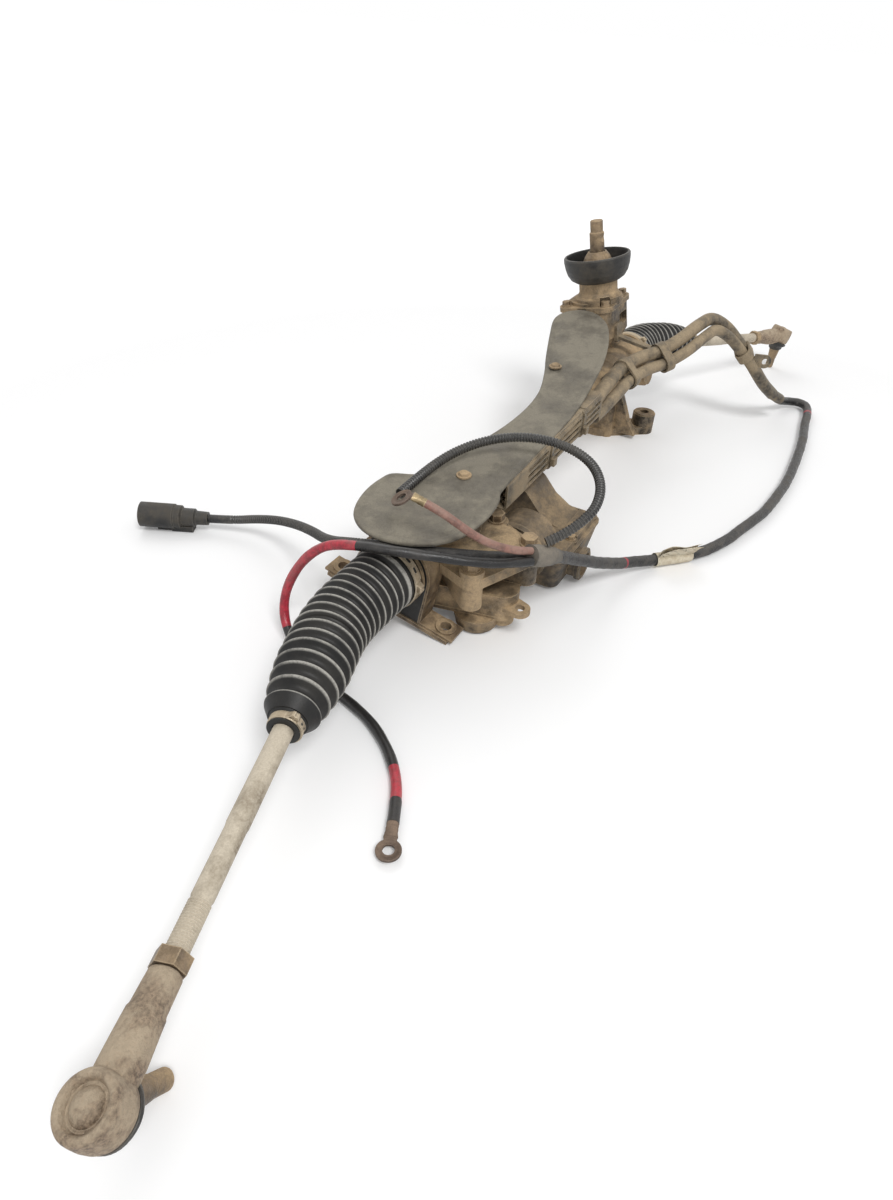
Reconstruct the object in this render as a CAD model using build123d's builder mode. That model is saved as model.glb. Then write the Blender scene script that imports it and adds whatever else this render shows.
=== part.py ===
from build123d import *
import math
import os

# Steering rack with electric assist: rack housing, two pinions, motor, bellows, tie rods and harness.
# Rack frame, in millimetres: X runs along the rack, Z is up, and the origin is on the rack's axis
# at the middle of the housing. The near end is -X. The last section sets the whole down on a floor.

# ---------------------------------------------------------------- driving dimensions
HOUSING_HALF = 300.0        # half of the housing's length
TUBE_R = 24.0               # outer radius of the middle of the tube
TUBE_BORE_R = 18.0
END_R = 28.0                # outer radius of each end, where the bellows seats
END_BORE_R = 24.5
END_BORE_DEPTH = 40.0
COLLAR_R = 32.0             # collar that the bellows' big end stops against
SEAT_LENGTH = 14.0
COLLAR_WIDTH = 3.0

RACK_R = 14.0
RACK_OFFSET = -15.0         # how far the rack stands off its middle, towards the near end
BALL_OUT = 53.0             # inner ball's centre outside the housing's end, with the rack in the middle
RACK_STROKE = 68.0          # to each side of the middle
MODULE = 2.0
PINION_TEETH = 8
PRESSURE_ANGLE = 20.0
PROFILE_SHIFT = 0.5
FLANK_CLEARANCE = 0.22      # taken off each flank of a pinion tooth
RACK_TIP = 9.0              # flat of the rack's teeth above its axis

NEAR_PINION_X = -218.0
FAR_PINION_X = 240.0
TOWER_LEAN = 10.6           # lean of the input shaft from Z towards +Y, in degrees

GEAR_Z = -33.0              # mid plane of the worm wheel
WHEEL_TEETH = 45
WHEEL_R = 34.0
WHEEL_THICK = 14.0
WORM_R = 7.0

TIE_ROD_LENGTH = 355.0      # inner ball centre to outer ball centre
TIE_ROD_R = 7.5
NECK_R = 6.0
BALL_R = 14.5
SEAT_WALL = 1.5
GAP = 0.3                   # between parts that move over each other
SOCKET_R = 19.5
SOCKET_BACK = 18.0
MOUTH_ANGLE = 57.0          # half angle of the socket's mouth about the rack's axis
NEAR_YAW = 19.1             # near tie rod towards -Y
NEAR_DROOP = -0.58          # below level; minus is above it
FAR_YAW = 23.5
FAR_DROOP = 9.375

BELLOWS_CREST_R = 30.0
BELLOWS_SMALL_CREST_R = 26.5
BELLOWS_DEPTH = 4.6
BELLOWS_WALL = 1.5
BELLOWS_RIBS = 17
BELLOWS_GRIP = 118.0        # small end, along the tie rod from the ball's centre
CUFF_LENGTH = 9.0

ROD_END_R = 18.0
OUTER_BALL_R = 11.0
STUD_LENGTH = 54.0          # ball centre to the stud's tip

TILT = 2.98                 # the rack's far end stands higher than its near end
FLOOR_DROP = 77.7           # from the rack's axis down to the floor, at the middle
ORIGIN_SHIFT = (-20.83, -58.88)  # from the rack frame's origin to the middle of the box, in plan

# ---------------------------------------------------------------- derived values
PINION_R = MODULE * PINION_TEETH / 2
PINION_TIP_R = 10.4
PINION_ROOT_R = PINION_R - MODULE * (1.25 - PROFILE_SHIFT)
RACK_PITCH = math.pi * MODULE
PINION_OFFSET = RACK_TIP + PINION_R + MODULE * PROFILE_SHIFT - MODULE
RACK_TOOTH_DEPTH = 4.2
NEAR_BALL_X = -(HOUSING_HALF + BALL_OUT) + RACK_OFFSET
FAR_BALL_X = HOUSING_HALF + BALL_OUT + RACK_OFFSET
SLIDE_RANGE = (-RACK_STROKE - RACK_OFFSET, RACK_STROKE - RACK_OFFSET)
WORM_Y = -PINION_OFFSET - WHEEL_R - 9.0


def unit(yaw, droop, side):
    """Direction of a tie rod: yaw turns it towards -Y, droop lowers its end."""
    a = math.radians(yaw)
    b = math.radians(droop)
    return Vector(side * math.cos(a) * math.cos(b), -math.sin(a) * math.cos(b), -math.sin(b))


NEAR_DIR = unit(NEAR_YAW, NEAR_DROOP, -1)
FAR_DIR = unit(FAR_YAW, FAR_DROOP, 1)
NEAR_BALL = Vector(NEAR_BALL_X, 0, 0)
FAR_BALL = Vector(FAR_BALL_X, 0, 0)
NEAR_END = NEAR_BALL + NEAR_DIR * TIE_ROD_LENGTH
FAR_END = FAR_BALL + FAR_DIR * TIE_ROD_LENGTH
NEAR_STUD_DIR = Vector(0.60, 0.06, -0.80).normalized()
FAR_STUD_DIR = Vector(0.09, 0.06, -0.99).normalized()

LEAN = math.radians(TOWER_LEAN)
TOWER_UP = Vector(0, math.sin(LEAN), math.cos(LEAN))
TOWER_SIDE = Vector(0, math.cos(LEAN), -math.sin(LEAN))
TOWER_FOOT = Vector(FAR_PINION_X, 0, 0) + TOWER_SIDE * PINION_OFFSET


def floor_z(x, height=0.0):
    """Height in the rack frame of a point that stands `height` above the floor."""
    return height / math.cos(math.radians(TILT)) - FLOOR_DROP - math.tan(math.radians(TILT)) * x


def tower_plane(h=0.0):
    """Plane across the input shaft, h above the rack."""
    return Plane(origin=TOWER_FOOT + TOWER_UP * h, x_dir=(1, 0, 0), z_dir=TOWER_UP)


def drive_plane(z=0.0):
    """Level plane on the drive pinion's axis."""
    return Plane(origin=(NEAR_PINION_X, -PINION_OFFSET, z), x_dir=(1, 0, 0), z_dir=(0, 0, 1))


def across(point, direction):
    """Plane through a point, square to a direction, with its X as level as it can be."""
    level = Vector(-direction.Y, direction.X, 0)
    if level.length < 0.01:
        level = Vector(1, 0, 0)
    return Plane(origin=point, x_dir=level.normalized(), z_dir=direction)


def x_plane(x):
    """Plane square to the rack's axis, looking along +X, with its X along +Y."""
    return Plane(origin=(x, 0, 0), x_dir=(0, 1, 0), z_dir=(1, 0, 0))


# The assembly is drawn with the rack level. It comes to rest with the far end raised by TILT.
SET_DOWN = (
    Location((-ORIGIN_SHIFT[0], -ORIGIN_SHIFT[1], FLOOR_DROP * math.cos(math.radians(TILT))))
    * Location((0, 0, 0), (0, -TILT, 0))
)

os.makedirs("parts", exist_ok=True)


def save(shape, node):
    """Set a finished piece down with the rest and write it under its node's name."""
    placed = shape.moved(SET_DOWN)
    placed.label = node
    export_step(placed, f"parts/{node}.step")


# ---------------------------------------------------------------- forms used by several pieces
def disc(plane, radius, height, bore=0.0):
    """Cylinder, or ring, standing on a plane."""
    with BuildPart() as piece:
        with BuildSketch(plane):
            Circle(radius)
            if bore > 0:
                Circle(bore, mode=Mode.SUBTRACT)
        extrude(amount=height)
    return piece.part


def plate(plane, circles, height):
    """Plate whose outline goes round a set of circles, each given as x, y and radius."""
    with BuildPart() as piece:
        with BuildSketch(plane):
            for centre_x, centre_y, radius in circles:
                with Locations((centre_x, centre_y)):
                    Circle(radius)
            make_hull()
        extrude(amount=height)
    return piece.part


def turned(plane, outline):
    """Solid turned about a plane's normal. The outline gives radius and height along the normal."""
    with BuildPart() as piece:
        with BuildSketch(Plane(origin=plane.origin, x_dir=plane.x_dir, z_dir=-plane.y_dir)):
            with BuildLine():
                Polyline(*outline, close=True)
            make_face()
        revolve(axis=Axis(plane.origin, plane.z_dir))
    return piece.part


def hex_bolt(plane, flats, head, shank_r, shank):
    """Flanged hexagon bolt: the head stands on the plane and the shank goes down from it."""
    with BuildPart() as piece:
        with BuildSketch(plane):
            Circle(flats * 0.62)
        extrude(amount=1.5)
        with BuildSketch(plane.offset(1.5)):
            RegularPolygon(flats / 2, 6, major_radius=False)
        extrude(amount=head)
        with BuildSketch(plane):
            Circle(shank_r)
        extrude(amount=-shank)
    return piece.part


def bend_middle(points, index):
    """Middle of the arc that a cord makes inside one of its points."""
    here = Vector(*points[index])
    back = Vector(*points[index - 1]) - here
    ahead = Vector(*points[index + 1]) - here
    half = math.radians(180 - back.get_angle(ahead)) / 2
    arc = 0.45 * min(back.length, ahead.length) / math.tan(half)
    return here + (back.normalized() + ahead.normalized()).normalized() * arc * (1 / math.cos(half) - 1)


def cord(points, radius):
    """Round cord along straight runs, joined by arcs as large as the runs allow."""
    places = [Vector(*point) for point in points]
    radii = []
    for before, here, after in zip(places, places[1:], places[2:]):
        turn = math.radians((here - before).get_angle(after - here))
        radii.append(0.45 * min((here - before).length, (after - here).length) / math.tan(turn / 2))
    with BuildPart() as piece:
        with BuildLine() as route:
            FilletPolyline(*places, radius=radii)
        path = route.wires()[0]
        with BuildSketch(Plane(origin=path @ 0, z_dir=path % 0)):
            Circle(radius)
        sweep(path=path)
    return piece.part


# ---------------------------------------------------------------- rack housing, one casting
END_BORE_X = HOUSING_HALF - END_BORE_DEPTH
TUBE_FROM = 205.0
PAN_TOP = -22.0
PAN_BOTTOM = -45.0
CHAMBER_R = WHEEL_R + 2.0
PAN_R = CHAMBER_R + 4.0
BLOCK_LOW = 34.0
BLOCK_HIGH = 80.0
BLOCK_W = 72.0
BLOCK_D = 66.0
TOWER_SCREWS = ((-23.0, -18.0), (35.0, -18.0), (-23.0, 34.0), (35.0, 34.0))
SCREW_HOLE_R = 2.65
COLUMN_R = 19.0
BASE_EYES = ((277.0, -43.0), (236.0, 46.0))
EYE_R = 15.0
EYE_BORE_R = 10.0
EYE_HEIGHT = 26.0
FLANGE_Z = 0.0
FLANGE_HEIGHT = 16.0
CASE_BOLTS = ((-264.0, -67.0), (-206.0, -92.0), (-187.0, -50.0))
CASE_BOLT_R = 3.5
LUG_HOLE = (-234.0, -101.5)
LUG_Z = (-38.0, -33.0)
PAN_CIRCLES = ((NEAR_PINION_X, -PINION_OFFSET, PAN_R), (NEAR_PINION_X, WORM_Y, 25.0), (-228.0, -80.0, 16.0))
DRIVE_BOSS_R = 20.0
DRIVE_BOSS_TOP = 22.0
MOTOR_NECK_X = NEAR_PINION_X + 10.0
MOTOR_NECK_R = 14.0
MOTOR_FROM = -176.0
WORM_FROM = NEAR_PINION_X - 20.5
WORM_BEARING_R = 9.0
YOKE_R = 14.0
YOKE_BOSS_R = 19.0
YOKE_END = 46.0
SHIELD_RIVETS = ((-187.0, -14.0), (67.0, 11.0))
POST_R = 7.0
RIVET_HOLE_R = 2.6
SHIELD_Z = 50.0
SHIELD_RISE_FROM = 20.0
SHIELD_RISE = 0.16


def shield_z(x):
    """Height of the heat shield's underside: level, then rising towards the tower."""
    return SHIELD_Z + SHIELD_RISE * max(0.0, x - SHIELD_RISE_FROM)


with BuildPart() as rack_housing:
    with BuildSketch(Plane.XZ) as half_section:
        with BuildLine():
            Polyline(
                (-HOUSING_HALF, 0), (-HOUSING_HALF, END_R), (-HOUSING_HALF + SEAT_LENGTH, END_R),
                (-HOUSING_HALF + SEAT_LENGTH, COLLAR_R), (-HOUSING_HALF + SEAT_LENGTH + COLLAR_WIDTH, COLLAR_R),
                (-HOUSING_HALF + SEAT_LENGTH + COLLAR_WIDTH, END_R + 1), (-TUBE_FROM - 8, END_R + 1),
                (-TUBE_FROM, TUBE_R), (TUBE_FROM, TUBE_R), (TUBE_FROM + 8, END_R + 1),
                (HOUSING_HALF - SEAT_LENGTH - COLLAR_WIDTH, END_R + 1), (HOUSING_HALF - SEAT_LENGTH - COLLAR_WIDTH, COLLAR_R),
                (HOUSING_HALF - SEAT_LENGTH, COLLAR_R), (HOUSING_HALF - SEAT_LENGTH, END_R),
                (HOUSING_HALF, END_R), (HOUSING_HALF, 0), close=True,
            )
        make_face()
    revolve(axis=Axis.X)
    # near gear seat: the pan round the worm wheel, and the boss round the drive pinion
    add(plate(Plane.XY.offset(PAN_BOTTOM), PAN_CIRCLES, PAN_TOP - PAN_BOTTOM))
    add(disc(drive_plane(PAN_TOP - 1), DRIVE_BOSS_R, DRIVE_BOSS_TOP - PAN_TOP + 1))
    for bolt_x, bolt_y in CASE_BOLTS:
        arm = [(bolt_x, bolt_y, 10), (NEAR_PINION_X, -PINION_OFFSET, 14)]
        add(plate(Plane.XY.offset(PAN_TOP - 1), arm, FLANGE_Z - PAN_TOP + 1))
    add(disc(x_plane(MOTOR_NECK_X).shift_origin((MOTOR_NECK_X, WORM_Y, GEAR_Z)), MOTOR_NECK_R,
             MOTOR_FROM - MOTOR_NECK_X))
    # lug with a hole beside the pan
    add(plate(Plane.XY.offset(LUG_Z[0]), [(*LUG_HOLE, 9.5), (-228, -74, 12)], LUG_Z[1] - LUG_Z[0]))
    # bosses for the two support yokes, opposite the pinions
    add(disc(Plane(origin=(NEAR_PINION_X, 0, 0), x_dir=(1, 0, 0), z_dir=(0, 1, 0)), YOKE_BOSS_R, YOKE_END))
    add(disc(Plane(origin=(FAR_PINION_X, 0, 0), x_dir=(1, 0, 0), z_dir=TOWER_SIDE * -1),
             YOKE_BOSS_R, YOKE_END))
    # posts that carry the heat shield
    for post_x, post_y in SHIELD_RIVETS:
        add(disc(Plane(origin=(post_x, post_y, 0)), POST_R, shield_z(post_x - POST_R) - 0.1))
        add(disc(Plane(origin=(post_x, post_y, SHIELD_Z - 5)), RIVET_HOLE_R, 20), mode=Mode.SUBTRACT)
    # tower: column, square block and the ribbed foot under it
    with BuildSketch(tower_plane(-20)):
        Circle(COLUMN_R)
    extrude(amount=BLOCK_LOW + 22)
    with BuildSketch(tower_plane(BLOCK_LOW)) as block_base:
        with Locations((6, 8)):
            RectangleRounded(BLOCK_W - 14, BLOCK_D - 14, 10)
    with BuildSketch(tower_plane(BLOCK_LOW + 12)):
        with Locations((6, 8)):
            RectangleRounded(BLOCK_W, BLOCK_D, 12)
    loft()
    with BuildSketch(tower_plane(BLOCK_LOW + 12)):
        with Locations((6, 8)):
            RectangleRounded(BLOCK_W, BLOCK_D, 12)
    extrude(amount=BLOCK_HIGH - BLOCK_LOW - 12)
    floor_plane = Plane(
        origin=(FAR_PINION_X, 0, floor_z(FAR_PINION_X)), x_dir=(1, 0, 0), z_dir=(0, 0, 1)
    ).rotated((0, TILT, 0))
    with BuildSketch(floor_plane):
        with Locations(*[(x - FAR_PINION_X, y) for x, y in BASE_EYES]):
            Circle(EYE_R)
        with Locations((0, 6)):
            Circle(20)
        make_hull()
    with BuildSketch(floor_plane.offset(10)):
        with Locations(*[(x - FAR_PINION_X, y) for x, y in BASE_EYES]):
            Circle(EYE_R - 1)
        with Locations((0, 6)):
            Circle(20)
        make_hull()
    loft()
    with BuildSketch(floor_plane):
        with Locations((4, 6)):
            RectangleRounded(40, 44, 8)
    with BuildSketch(Plane(origin=(FAR_PINION_X, 5, -10), x_dir=(1, 0, 0), z_dir=(0, 0, 1))):
        RectangleRounded(34, 34, 8)
    loft()
    for eye_x, eye_y in BASE_EYES:
        with BuildSketch(floor_plane):
            with Locations((eye_x - FAR_PINION_X, eye_y)):
                Circle(EYE_R)
        extrude(amount=EYE_HEIGHT)
    # ribs from the column out to the two eyes
    with BuildSketch(Plane(origin=(FAR_PINION_X + 2, 0, 0), x_dir=(0, 1, 0), z_dir=(1, 0, 0))):
        with BuildLine():
            Polyline((-46, -84), (-34, -66), (-12, -14), (14, -14), (38, -66), (50, -84), close=True)
        make_face()
    extrude(amount=5, both=True)
    # bores
    with BuildSketch(x_plane(-HOUSING_HALF)):
        Circle(TUBE_BORE_R)
    extrude(amount=2 * HOUSING_HALF, mode=Mode.SUBTRACT)
    for bore_x in (-HOUSING_HALF, END_BORE_X):
        with BuildSketch(x_plane(bore_x)):
            Circle(END_BORE_R)
        extrude(amount=END_BORE_DEPTH, mode=Mode.SUBTRACT)
    chamber = [(NEAR_PINION_X, -PINION_OFFSET, CHAMBER_R), (NEAR_PINION_X, WORM_Y, 17)]
    add(plate(Plane.XY.offset(PAN_BOTTOM), chamber, PAN_TOP - 2 - PAN_BOTTOM), mode=Mode.SUBTRACT)
    add(disc(drive_plane(PAN_BOTTOM), 14, DRIVE_BOSS_TOP - PAN_BOTTOM + 10), mode=Mode.SUBTRACT)
    worm_bore = Plane(origin=(WORM_FROM - 0.5, WORM_Y, GEAR_Z), x_dir=(0, 1, 0), z_dir=(1, 0, 0))
    add(disc(worm_bore, WORM_BEARING_R, 80), mode=Mode.SUBTRACT)
    for bolt_x, bolt_y in CASE_BOLTS:
        add(disc(Plane(origin=(bolt_x, bolt_y, PAN_TOP - 5)), CASE_BOLT_R, 40), mode=Mode.SUBTRACT)
    with BuildSketch(tower_plane(-34)):
        Circle(12)
    extrude(amount=BLOCK_HIGH + 40, mode=Mode.SUBTRACT)
    with BuildSketch(tower_plane(BLOCK_HIGH - 30)):
        Circle(19)
    extrude(amount=32, mode=Mode.SUBTRACT)
    with BuildSketch(Plane.XY.offset(LUG_Z[0] - 1)):
        with Locations(LUG_HOLE):
            Circle(4.5)
    extrude(amount=LUG_Z[1] - LUG_Z[0] + 2, mode=Mode.SUBTRACT)
    for eye_x, eye_y in BASE_EYES:
        with BuildSketch(floor_plane.offset(-5)):
            with Locations((eye_x - FAR_PINION_X, eye_y)):
                Circle(EYE_BORE_R)
        extrude(amount=EYE_HEIGHT + 10, mode=Mode.SUBTRACT)
        with BuildSketch(floor_plane.offset(EYE_HEIGHT)):
            with Locations((eye_x - FAR_PINION_X, eye_y)):
                Circle(EYE_R)
        extrude(amount=4, mode=Mode.SUBTRACT)
    for screw_x, screw_y in TOWER_SCREWS:
        with BuildSketch(tower_plane(BLOCK_HIGH - 14)):
            with Locations((screw_x, screw_y)):
                Circle(SCREW_HOLE_R)
        extrude(amount=20, mode=Mode.SUBTRACT)
    # yoke bores
    add(disc(Plane(origin=(NEAR_PINION_X, 0, 0), x_dir=(1, 0, 0), z_dir=(0, 1, 0)), YOKE_R + 0.1, 70),
        mode=Mode.SUBTRACT)
    add(disc(Plane(origin=(FAR_PINION_X, 0, 0), x_dir=(1, 0, 0), z_dir=TOWER_SIDE * -1), YOKE_R + 0.1, 70),
        mode=Mode.SUBTRACT)
    # cast recess on the block's face
    with BuildSketch(Plane(origin=TOWER_FOOT + TOWER_UP * 62 - TOWER_SIDE * 40, x_dir=(1, 0, 0),
                           z_dir=TOWER_SIDE)):
        with Locations((18, 0)):
            RectangleRounded(26, 14, 3)
    extrude(amount=22, mode=Mode.SUBTRACT)
save(rack_housing.part, "rack_housing")

# ---------------------------------------------------------------- covers of the near gear case
COVER_TOP = 16.0
DOME_TOP = 34.0
TUBE_END_R = END_R + 1.0
STRAP_R = 36.0              # outer radius of the near saddle clamp
STRAP_FROM = -282.0
STRAP_WIDTH = 22.0
POT_BOTTOM = -63.5
SEAM = 0.15                 # between faces of one body that only touch

with BuildPart() as gear_case_cover:
    lobes = [(x, y, 11) for x, y in CASE_BOLTS]
    hub = (NEAR_PINION_X, -PINION_OFFSET, PAN_R - 2)
    add(plate(Plane.XY.offset(FLANGE_Z + SEAM), [*lobes, hub], 10))
    add(plate(Plane.XY.offset(FLANGE_Z + 10), [hub, (-212, -62, 22)], COVER_TOP - 10))
    for bolt_x, bolt_y in CASE_BOLTS:
        add(disc(Plane(origin=(bolt_x, bolt_y, FLANGE_Z + 5)), 11, COVER_TOP - 5))
    with BuildSketch(drive_plane(COVER_TOP)):
        Circle(31)
    with BuildSketch(drive_plane(DOME_TOP)):
        Circle(23)
    loft()
    fillet(gear_case_cover.edges().group_by(Axis.Z)[-1], radius=4)
    add(disc(x_plane(-300), TUBE_END_R + SEAM, 200), mode=Mode.SUBTRACT)
    add(disc(x_plane(-300), STRAP_R + 1, 300 + STRAP_FROM + STRAP_WIDTH + 1), mode=Mode.SUBTRACT)
    add(disc(drive_plane(-1), DRIVE_BOSS_R + SEAM, DRIVE_BOSS_TOP + 1 + SEAM), mode=Mode.SUBTRACT)
    add(disc(Plane(origin=(*SHIELD_RIVETS[0], -1)), POST_R + SEAM, 60), mode=Mode.SUBTRACT)
    for bolt_x, bolt_y in CASE_BOLTS:
        add(disc(Plane(origin=(bolt_x, bolt_y, -1)), CASE_BOLT_R, 40), mode=Mode.SUBTRACT)
save(gear_case_cover.part, "gear_case_cover")

with BuildPart() as lower_gear_cover:
    add(plate(Plane.XY.offset(PAN_BOTTOM - 4), PAN_CIRCLES, 4 - SEAM))
    add(disc(drive_plane(PAN_BOTTOM - 13), 17, 10))
    with BuildSketch(Plane.XY.offset(PAN_BOTTOM - 3)):
        with Locations((-238, -61)):
            Circle(22)
    with BuildSketch(Plane.XY.offset(POT_BOTTOM)):
        with Locations((-238, -61)):
            Circle(19)
    loft()
    fillet(lower_gear_cover.edges().group_by(Axis.Z)[0], radius=3)
    add(disc(Plane(origin=(-228, -82, PAN_BOTTOM - 13)), 11, 10))
    add(disc(drive_plane(PAN_BOTTOM - 11), 10 + SEAM, 20), mode=Mode.SUBTRACT)
    neck_plane = Plane(origin=(MOTOR_NECK_X - 2, WORM_Y, GEAR_Z), x_dir=(0, 1, 0), z_dir=(1, 0, 0))
    add(disc(neck_plane, MOTOR_NECK_R + SEAM, 60), mode=Mode.SUBTRACT)
save(lower_gear_cover.part, "lower_gear_cover")

with BuildPart() as gear_case_bolts:
    for bolt_x, bolt_y in CASE_BOLTS:
        add(hex_bolt(Plane(origin=(bolt_x, bolt_y, COVER_TOP + 0.05)), 13, 7, CASE_BOLT_R - SEAM, 36))
save(gear_case_bolts.part, "gear_case_bolts")

# ---------------------------------------------------------------- motor and control unit
WORM_CENTRE = Vector(NEAR_PINION_X, WORM_Y, GEAR_Z)
MOTOR_R = 29.0
MOTOR_BORE_R = 25.0
CASE_FROM = -158.0
CASE_TO = -58.0
CASE_Y = (-108.0, -36.0)
CASE_Z = (-66.0, -34.0)
COVER_THICK = 8.0
SOCKET_Z = -52.0
MOTOR_COLLAR = 30.0         # round front of the case, over the motor's end
ARM_X = -86.0               # middle of the arm from the case up to the rack tube
ARM_HALF = 22.0
ARM_OUTLINE = (
    (-86, -40), (-86, -27), (-74, -24), (-58, -14), (-44, 2), (-32, 10), (-12, 10), (-12, -30), (-30, -40),
)
MOTOR_SCREWS = ((0.0, 35.0), (120.0, 35.0), (240.0, 35.0))
CASE_SCREWS = ((-117.0, -99.0), (-66.0, -99.0), (-117.0, -47.0))


def worm_plane(x):
    """Plane square to the worm shaft, with its X along +Y."""
    return Plane(origin=(x, WORM_Y, GEAR_Z), x_dir=(0, 1, 0), z_dir=(1, 0, 0))


with BuildPart() as motor_housing:
    add(disc(worm_plane(MOTOR_FROM + SEAM), MOTOR_R, CASE_FROM - MOTOR_FROM - 2 * SEAM))
    add(disc(worm_plane(CASE_FROM - 7), MOTOR_R + 3, 7 - SEAM))
    with BuildSketch(worm_plane(MOTOR_FROM + 2)):
        with PolarLocations(MOTOR_R, 12):
            Rectangle(3, 3)
    extrude(amount=CASE_FROM - MOTOR_FROM - 8)
    add(disc(worm_plane(MOTOR_FROM + 4), MOTOR_BORE_R, 80), mode=Mode.SUBTRACT)
    add(disc(worm_plane(MOTOR_FROM - 1), 8, 20), mode=Mode.SUBTRACT)
save(motor_housing.part, "motor_housing")

with BuildPart() as ecu_case:
    with BuildSketch(Plane.XY.offset(CASE_Z[0])):
        with Locations(((CASE_FROM + CASE_TO) / 2, (CASE_Y[0] + CASE_Y[1]) / 2)):
            RectangleRounded(CASE_TO - CASE_FROM - 10, CASE_Y[1] - CASE_Y[0] - 12, 10)
    with BuildSketch(Plane.XY.offset(CASE_Z[1])):
        with Locations(((CASE_FROM + CASE_TO) / 2, (CASE_Y[0] + CASE_Y[1]) / 2)):
            RectangleRounded(CASE_TO - CASE_FROM, CASE_Y[1] - CASE_Y[0], 10)
    loft()
    add(disc(worm_plane(CASE_FROM), MOTOR_R + 3, MOTOR_COLLAR))
    # arm up to a pad on the rack tube, and the connector's socket on the outer side
    with BuildSketch(Plane(origin=(ARM_X, 0, 0), x_dir=(0, 1, 0), z_dir=(1, 0, 0))):
        with BuildLine():
            Polyline(*ARM_OUTLINE, close=True)
        make_face()
    extrude(amount=ARM_HALF, both=True)
    socket_plane = Plane(origin=(-116, CASE_Y[0] + 8, SOCKET_Z), x_dir=(1, 0, 0), z_dir=(0, -1, 0))
    add(disc(socket_plane, 15, 17))
    add(disc(socket_plane.offset(12), 17, 4))
    add(disc(socket_plane.offset(7), 12, 30), mode=Mode.SUBTRACT)
    add(disc(worm_plane(CASE_FROM - 5), MOTOR_BORE_R, MOTOR_COLLAR + 1), mode=Mode.SUBTRACT)
    add(disc(x_plane(-300), TUBE_R + SEAM, 600), mode=Mode.SUBTRACT)
    for screw_x, screw_y in CASE_SCREWS:
        add(disc(Plane(origin=(screw_x, screw_y, CASE_Z[1] - 9)), 2.65, 20), mode=Mode.SUBTRACT)
save(ecu_case.part, "ecu_case")

with BuildPart() as ecu_cover:
    with BuildSketch(Plane.XY.offset(CASE_Z[1] + SEAM)):
        with Locations(((CASE_FROM + CASE_TO) / 2, (CASE_Y[0] + CASE_Y[1]) / 2)):
            RectangleRounded(CASE_TO - CASE_FROM + 2, CASE_Y[1] - CASE_Y[0] + 2, 11)
    extrude(amount=3)
    with BuildSketch(Plane.XY.offset(CASE_Z[1] + SEAM)):
        with Locations(((CASE_FROM + CASE_TO) / 2, (CASE_Y[0] + CASE_Y[1]) / 2)):
            RectangleRounded(CASE_TO - CASE_FROM - 3, CASE_Y[1] - CASE_Y[0] - 3, 9)
    extrude(amount=COVER_THICK, taper=20)
    for screw_x, screw_y in CASE_SCREWS:
        add(disc(Plane(origin=(screw_x, screw_y, CASE_Z[1] + SEAM)), 7, COVER_THICK - 2))
        add(disc(Plane(origin=(screw_x, screw_y, CASE_Z[1] + COVER_THICK - 1.9)), 6.5, 20), mode=Mode.SUBTRACT)
        add(disc(Plane(origin=(screw_x, screw_y, CASE_Z[1] - 1)), 2.65, 20), mode=Mode.SUBTRACT)
    add(disc(worm_plane(CASE_FROM - 20), MOTOR_R + 3.4, MOTOR_COLLAR + 20.4), mode=Mode.SUBTRACT)
    with BuildSketch(Plane(origin=(ARM_X, 0, 0), x_dir=(0, 1, 0), z_dir=(1, 0, 0))):
        with BuildLine():
            Polyline((ARM_OUTLINE[0][0] - SEAM, -60), (ARM_OUTLINE[0][0] - SEAM, 40), (0, 40), (0, -60), close=True)
        make_face()
    extrude(amount=ARM_HALF + SEAM, both=True, mode=Mode.SUBTRACT)
save(ecu_cover.part, "ecu_cover")

# ---------------------------------------------------------------- cover and seals of the input tower
FLANGE_THICK = 6.0
SHAFT_COVER_TOP = 118.0
COVER_NECK_R = 23.6
CUP_LEAN = 1.0              # the rubber cup leans a little further than the shaft
SHAFT_R = 9.7

with BuildPart() as tower_cover:
    with BuildSketch(tower_plane(BLOCK_HIGH + SEAM)):
        with Locations((6, 8)):
            RectangleRounded(BLOCK_W + 5, BLOCK_D + 5, 13)
    extrude(amount=FLANGE_THICK)
    with BuildSketch(tower_plane(BLOCK_HIGH + FLANGE_THICK)):
        with Locations((4, 4)):
            Circle(33)
    extrude(amount=4)
    add(turned(tower_plane(0), [
        (0, 84), (29, 84), (29, 94), (26, 96), (COVER_NECK_R, 100), (COVER_NECK_R, SHAFT_COVER_TOP),
        (0, SHAFT_COVER_TOP),
    ]))
    add(disc(tower_plane(70), SHAFT_R + 3.0, 60), mode=Mode.SUBTRACT)
    add(disc(tower_plane(78), 19, 12), mode=Mode.SUBTRACT)
    for screw_x, screw_y in TOWER_SCREWS:
        with BuildSketch(tower_plane(70)):
            with Locations((screw_x, screw_y)):
                Circle(SCREW_HOLE_R)
        extrude(amount=20, mode=Mode.SUBTRACT)
        with BuildSketch(tower_plane(BLOCK_HIGH + FLANGE_THICK + 0.15)):
            with Locations((screw_x, screw_y)):
                Circle(7)
        extrude(amount=10, mode=Mode.SUBTRACT)
save(tower_cover.part, "tower_cover")

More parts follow.
